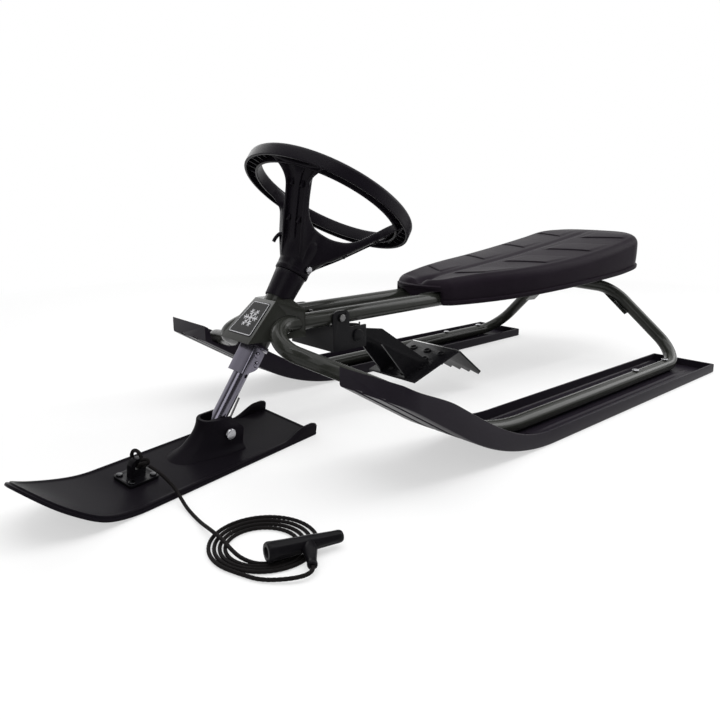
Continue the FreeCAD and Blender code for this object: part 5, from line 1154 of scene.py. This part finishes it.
# Folded sheet, castings and fasteners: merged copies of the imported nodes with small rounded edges

roundedCopies = [
    # piece, node, body, slot, finish, edge radius in mm
    ("headBoxSheet", "head_box", "frame", "frame_paint", "framePaint", 1.6),
    ("brakeLeverPlate", "brake_lever", "brake", "brake_paint", "leverPaint", 0.7),
    ("brakeBracketPlate", "brake_bracket", "frame", "brake_paint", "brakePaint", 0.8),
    ("brakeBoltHeads", "brake_bolts", "frame", "fastener_steel", "springSteel", 1.6),
    ("brakePin", "brake_pivot_pin", "frame", "fastener_steel", "brakePaint", 1.0),
    ("runnerBoltHeads", "runner_bolts", "frame", "fastener_steel", "fastenerSteel", 1.2),
    ("eyeletBlock", "rope_eyelet", "ski_foot", "black_plastic", "gripPlastic", 1.2),
    ("eyeletScrewHeads", "eyelet_screws", "ski_foot", "fastener_steel", "darkScrew", 1.0),
    ("skiBoltHead", "ski_pivot_bolt", "ski_foot", "fastener_steel", "fastenerSteel", 1.6),
    ("hubScrewHead", "hub_screw", "steering", "fastener_steel", "fastenerSteel", 1.2),
    ("seatBoltHeads", "seat_bolts", "frame", "fastener_steel", "fastenerSteel", 1.0),
    ("crossStrap", "seat_cross_strap", "frame", "brake_paint", "framePaint", 0.8),
    ("legStrapNear", "leg_strap_left", "frame", "brake_paint", "framePaint", 0.8),
    ("legStrapFar", "leg_strap_right", "frame", "brake_paint", "framePaint", 0.8),
]
# rounded corners of a plate: radius, and the height above which they are rounded, in mm
plateCorners = {"brakeBracketPlate": (9.0, 165.0)}
bevelLook = dict(segments=3, sharp=34.0, cornerSegments=6)


def roundCorners(work, radius, above):
    # edges that run across the sled, through the sheet, near its top
    found = []
    for edge in work.edges:
        ends = [vert.co for vert in edge.verts]
        run = ends[1] - ends[0]
        if min(end.z for end in ends) > above / 1000 and abs(run.y) > 0.99 * run.length:
            found.append(edge)
    bmesh.ops.bevel(work, geom=found, offset=radius / 1000, segments=bevelLook["cornerSegments"], profile=0.5,
                    affect="EDGES")


def roundedCopy(name, node, body, slot, finish, radius):
    # the node's own mesh, its doubles merged and its flat faces joined, then a live bevel on the sharp edges
    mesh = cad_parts[node].data.copy()
    mesh.name = name
    work = bmesh.new()
    work.from_mesh(mesh)
    bmesh.ops.remove_doubles(work, verts=work.verts, dist=1e-5)
    bmesh.ops.dissolve_limit(work, angle_limit=math.radians(1.0), verts=work.verts, edges=work.edges)
    if name in plateCorners:
        roundCorners(work, *plateCorners[name])
    work.to_mesh(mesh)
    work.free()
    mesh.materials.clear()
    mesh.materials.append(surfaces[finish])
    mesh.shade_smooth()
    piece = bpy.data.objects.new(name, mesh)
    scene.collection.objects.link(piece)
    bevel = piece.modifiers.new("edges", "BEVEL")
    bevel.width = radius / 1000
    bevel.segments = bevelLook["segments"]
    bevel.limit_method = "ANGLE"
    bevel.angle_limit = math.radians(bevelLook["sharp"])
    bevel.use_clamp_overlap = True
    bevel.harden_normals = True
    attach(piece, body)
    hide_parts(node)


for row in roundedCopies:
    roundedCopy(*row)
print("rounded copies:", len(roundedCopies))


# Tow cord: one smooth route from the knot to the handle, with the coil as more of its points

cordLook = dict(
    diameter=4.0, pointsPerTurn=16, loops=4, extraTurn=30.0, coilMiddle=(947.0, 222.8), inner=30.5,
    growth=6.05, shift=9.0, unshift=1.75, shiftTurn=40.0, over=5.0, sinkTurn=49.5, cornerLoss=0.987,
    lead=((982.6, 47.3, 33.4), (976.3, 57.8, 27.7), (969.5, 69.0, 17.0), (966.8, 79.0, 10.1),
          (969.3, 93.7, 6.6), (971.8, 112.7, 2.25), (976.0, 146.0, 2.25), (980.4, 172.0, 7.2),
          (981.0, 198.4, 7.3)),
    leave=(-11.0, 27.0, 0.0), bossEnd=(945.4, 294.1, 7.5), bossReach=(12.0, 0.3),
    stationsPerMillimetre=1.1, around=14, strands=2, braidPitch=10.0, braidDepth=0.24,
)


def coilPoints(look):
    # radius grows with the turn, and a cosine shifts the loops to the side where they gather;
    # the cord comes in over the loops and sinks to the floor in the first eighth of a turn;
    # the spline runs inside its points, so the radius is a little larger
    count = int(look["loops"] * look["pointsPerTurn"]) + 2
    angle = np.linspace(0, math.radians(360 * look["loops"] + look["extraTurn"]), count)
    turns = angle / (2 * math.pi)
    offset = (look["shift"] - look["unshift"] * turns) * np.cos(angle - math.radians(look["shiftTurn"]))
    radius = (look["inner"] + look["growth"] * turns + offset) / look["cornerLoss"]
    sink = 0.5 + 0.5 * np.cos(math.pi * np.minimum(1, angle / math.radians(look["sinkTurn"])))
    height = look["diameter"] / 2 + look["over"] * sink
    middle = look["coilMiddle"]
    return np.stack([middle[0] + radius * np.cos(angle), middle[1] + radius * np.sin(angle), height], 1)


def routeLine(points):
    # the NURBS spline's own points, read from a bare curve
    curve = bpy.data.curves.new("towRoute", "CURVE")
    curve.dimensions = "3D"
    curve.resolution_u = 24
    spline = curve.splines.new("NURBS")
    spline.points.add(len(points) - 1)
    spline.points.foreach_set("co", np.c_[points, np.ones(len(points))].ravel())
    spline.order_u = 3
    spline.use_endpoint_u = True
    bare = bpy.data.objects.new("towRoute", curve)
    mesh = bpy.data.meshes.new_from_object(bare)
    line = np.zeros(len(mesh.vertices) * 3)
    mesh.vertices.foreach_get("co", line)
    bpy.data.meshes.remove(mesh)
    bpy.data.objects.remove(bare)
    bpy.data.curves.remove(curve)
    return line.reshape(-1, 3)


def makeCord(look):
    # the route leads from the knot to the coil and from the coil into the handle's boss; stations stand at
    # even lengths along it, and a braided round section is carried over them
    coil = coilPoints(look)
    bossEnd, bossWay = np.array(look["bossEnd"]), unit(handleLook["bossWay"])
    ends = [coil[-1] + np.array(look["leave"])] + [bossEnd + reach * bossWay for reach in look["bossReach"]]
    line = routeLine(fromRear(np.r_[np.array(look["lead"]), coil, ends]))
    along = lengthAlong(line)
    length = along[-1]
    at = np.linspace(0, length, int(length * 1000 * look["stationsPerMillimetre"]) + 1)
    path = np.stack([np.interp(at, along, line[:, k]) for k in range(3)], 1)
    radius = look["diameter"] / 2000 * braidShares(at * 1000, look)
    cord = addPiece("towCord", [tubeShell(path, radius, look["around"])], "ski_foot",
                    surfaces["cordFibre"], sharp=60)
    return cord, line, length


towCord, towLine, towLength = makeCord(cordLook)
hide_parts("tow_cord", "tow_coil")
print("tow cord: %.3f m" % towLength)


# Camera at the photograph's place

cameraLook = dict(place=(0.7477, 0.7261, 0.3395), yaw=-130.56, pitch=-11.62, roll=-0.42, lens=33.835,
                  shift=(0.0269, -0.05))


def makeCamera(look):
    yaw, pitch, roll = (math.radians(look[key]) for key in ("yaw", "pitch", "roll"))
    ahead = np.array([math.cos(pitch) * math.cos(yaw), math.cos(pitch) * math.sin(yaw), math.sin(pitch)])
    level = np.array([math.sin(yaw), -math.cos(yaw), 0.0])
    right = level * math.cos(roll) + np.cross(level, ahead) * math.sin(roll)
    place = np.eye(4)
    place[:3, :3] = np.stack([right, np.cross(right, ahead), -ahead], 1)
    place[:3, 3] = look["place"]
    data = bpy.data.cameras.new("photoCamera")
    data.sensor_width = 36.0
    data.lens = look["lens"]
    data.shift_x, data.shift_y = look["shift"]
    camera = bpy.data.objects.new("photoCamera", data)
    scene.collection.objects.link(camera)
    camera.matrix_world = Matrix(place.tolist())
    scene.camera = camera


makeCamera(cameraLook)


# Floor, world and soft boxes

stageLook = dict(
    floorRadius=3.2, floorRings=(0.0, 0.3, 0.7, 1.0), floorLevel=-0.0004, floorColour=(0.95, 0.95, 0.95),
    floorRough=0.9, floorSpecular=0.1, shadowShare=0.45, fadeFrom=0.9, fadeTo=1.7, worldLight=0.3,
    openSide=(0.62, 0.72, 0.3), openLevel=0.1, openFrom=0.15, openTo=0.6,
)
softBoxes = [
    # name, place, aim, size, power
    ("topBox", (0.1, 0.2, 1.9), (0.0, 0.0, 0.1), (2.2, 1.6), 22.0),
    ("noseBox", (1.7, 0.9, 1.1), (0.1, 0.1, 0.15), (1.0, 1.4), 8.0),
    ("rearBox", (-1.6, 0.8, 1.2), (-0.1, 0.1, 0.15), (1.0, 1.6), 17.0),
    ("farBox", (-0.2, -1.7, 1.2), (0.0, 0.0, 0.2), (2.0, 1.2), 12.0),
    ("stripBox", (-0.1, 0.75, 1.5), (-0.1, 0.0, 0.15), (2.4, 0.07), 4.0),
]


def seenRays(tree):
    # rays that mirrors and clear things send on, and these with the camera's own
    rays = tree.nodes.new("ShaderNodeLightPath")
    mirrored = mathNode(tree, "MAXIMUM", rays.outputs["Is Glossy Ray"], rays.outputs["Is Transmission Ray"])
    return mirrored, mathNode(tree, "MAXIMUM", rays.outputs["Is Camera Ray"], mirrored)


def mixShaders(tree, share, first, second, output):
    mix = tree.nodes.new("ShaderNodeMixShader")
    for socket, source in zip(mix.inputs, (share, first.outputs[0], second.outputs[0])):
        tree.links.new(source, socket)
    tree.links.new(mix.outputs[0], tree.nodes[output].inputs["Surface"])


def makeFloor(look):
    # a flat disc: rings by spokes, its colour fading out into the white behind
    reach = np.array(look["floorRings"])[:, None] * look["floorRadius"]
    angle = np.linspace(0, 2 * math.pi, 64, endpoint=False)
    level = look["floorLevel"] + 0 * reach * angle
    grid = np.stack([reach * np.cos(angle), reach * np.sin(angle), level], -1)
    points, faces = sheetOf(grid, wrapCols=True)
    mesh = bpy.data.meshes.new("floor")
    mesh.from_pydata(points.tolist(), [], faces)
    mesh.validate()
    floor = bpy.data.objects.new("floor", mesh)
    scene.collection.objects.link(floor)
    material = bpy.data.materials.new("paleFloor")
    material.use_nodes = True
    tree = material.node_tree
    shader = tree.nodes["Principled BSDF"]
    shader.inputs["Base Color"].default_value = (*look["floorColour"], 1)
    shader.inputs["Roughness"].default_value = look["floorRough"]
    shader.inputs["Specular IOR Level"].default_value = look["floorSpecular"]
    place = tree.nodes.new("ShaderNodeTexCoord")
    far = tree.nodes.new("ShaderNodeVectorMath")
    far.operation = "LENGTH"
    tree.links.new(place.outputs["Object"], far.inputs[0])
    fade = rangeMask(tree, far.outputs["Value"], look["fadeFrom"], look["fadeTo"])
    # what is seen is the shaded floor, thinned with plain white, and white alone farther out
    white = tree.nodes.new("ShaderNodeEmission")
    mirrored, seen = seenRays(tree)
    thin = mathNode(tree, "MAXIMUM", fade, 1 - look["shadowShare"])
    mixShaders(tree, mathNode(tree, "MULTIPLY", seen, thin), shader, white, "Material Output")
    mesh.materials.append(material)


def makeWorld(look):
    # soft light on the object, and white for what the camera and mirrors see
    world = bpy.data.worlds.new("studio")
    world.use_nodes = True
    scene.world = world
    tree = world.node_tree
    soft, white = tree.nodes["Background"], tree.nodes.new("ShaderNodeBackground")
    for light in (soft, white):
        light.inputs["Color"].default_value = (1, 1, 1, 1)
    soft.inputs["Strength"].default_value = look["worldLight"]
    mirrored, seen = seenRays(tree)
    # reflections find white all round but for the open side of the studio, which is dim
    place = tree.nodes.new("ShaderNodeTexCoord")
    facing = tree.nodes.new("ShaderNodeVectorMath")
    facing.operation = "DOT_PRODUCT"
    tree.links.new(place.outputs["Generated"], facing.inputs[0])
    facing.inputs[1].default_value = look["openSide"]
    dim = rangeMask(tree, facing.outputs["Value"], look["openFrom"], look["openTo"])
    dim = mathNode(tree, "MULTIPLY", mathNode(tree, "MULTIPLY", dim, mirrored), 1 - look["openLevel"])
    tree.links.new(mathNode(tree, "SUBTRACT", 1.0, dim), white.inputs["Strength"])
    mixShaders(tree, seen, soft, white, "World Output")


def makeSoftBox(name, place, aim, size, power):
    light = bpy.data.lights.new(name, "AREA")
    light.shape = "RECTANGLE"
    light.size, light.size_y = size
    light.energy = power
    lamp = bpy.data.objects.new(name, light)
    scene.collection.objects.link(lamp)
    back = unit(np.array(place) - np.array(aim))
    right = unit(np.cross([0.0, 0.0, 1.0], back))
    matrix = np.eye(4)
    matrix[:3, :3] = np.stack([right, np.cross(back, right), back], 1)
    matrix[:3, 3] = place
    lamp.matrix_world = Matrix(matrix.tolist())


makeFloor(stageLook)
makeWorld(stageLook)
for box in softBoxes:
    makeSoftBox(*box)
print("stage ready")
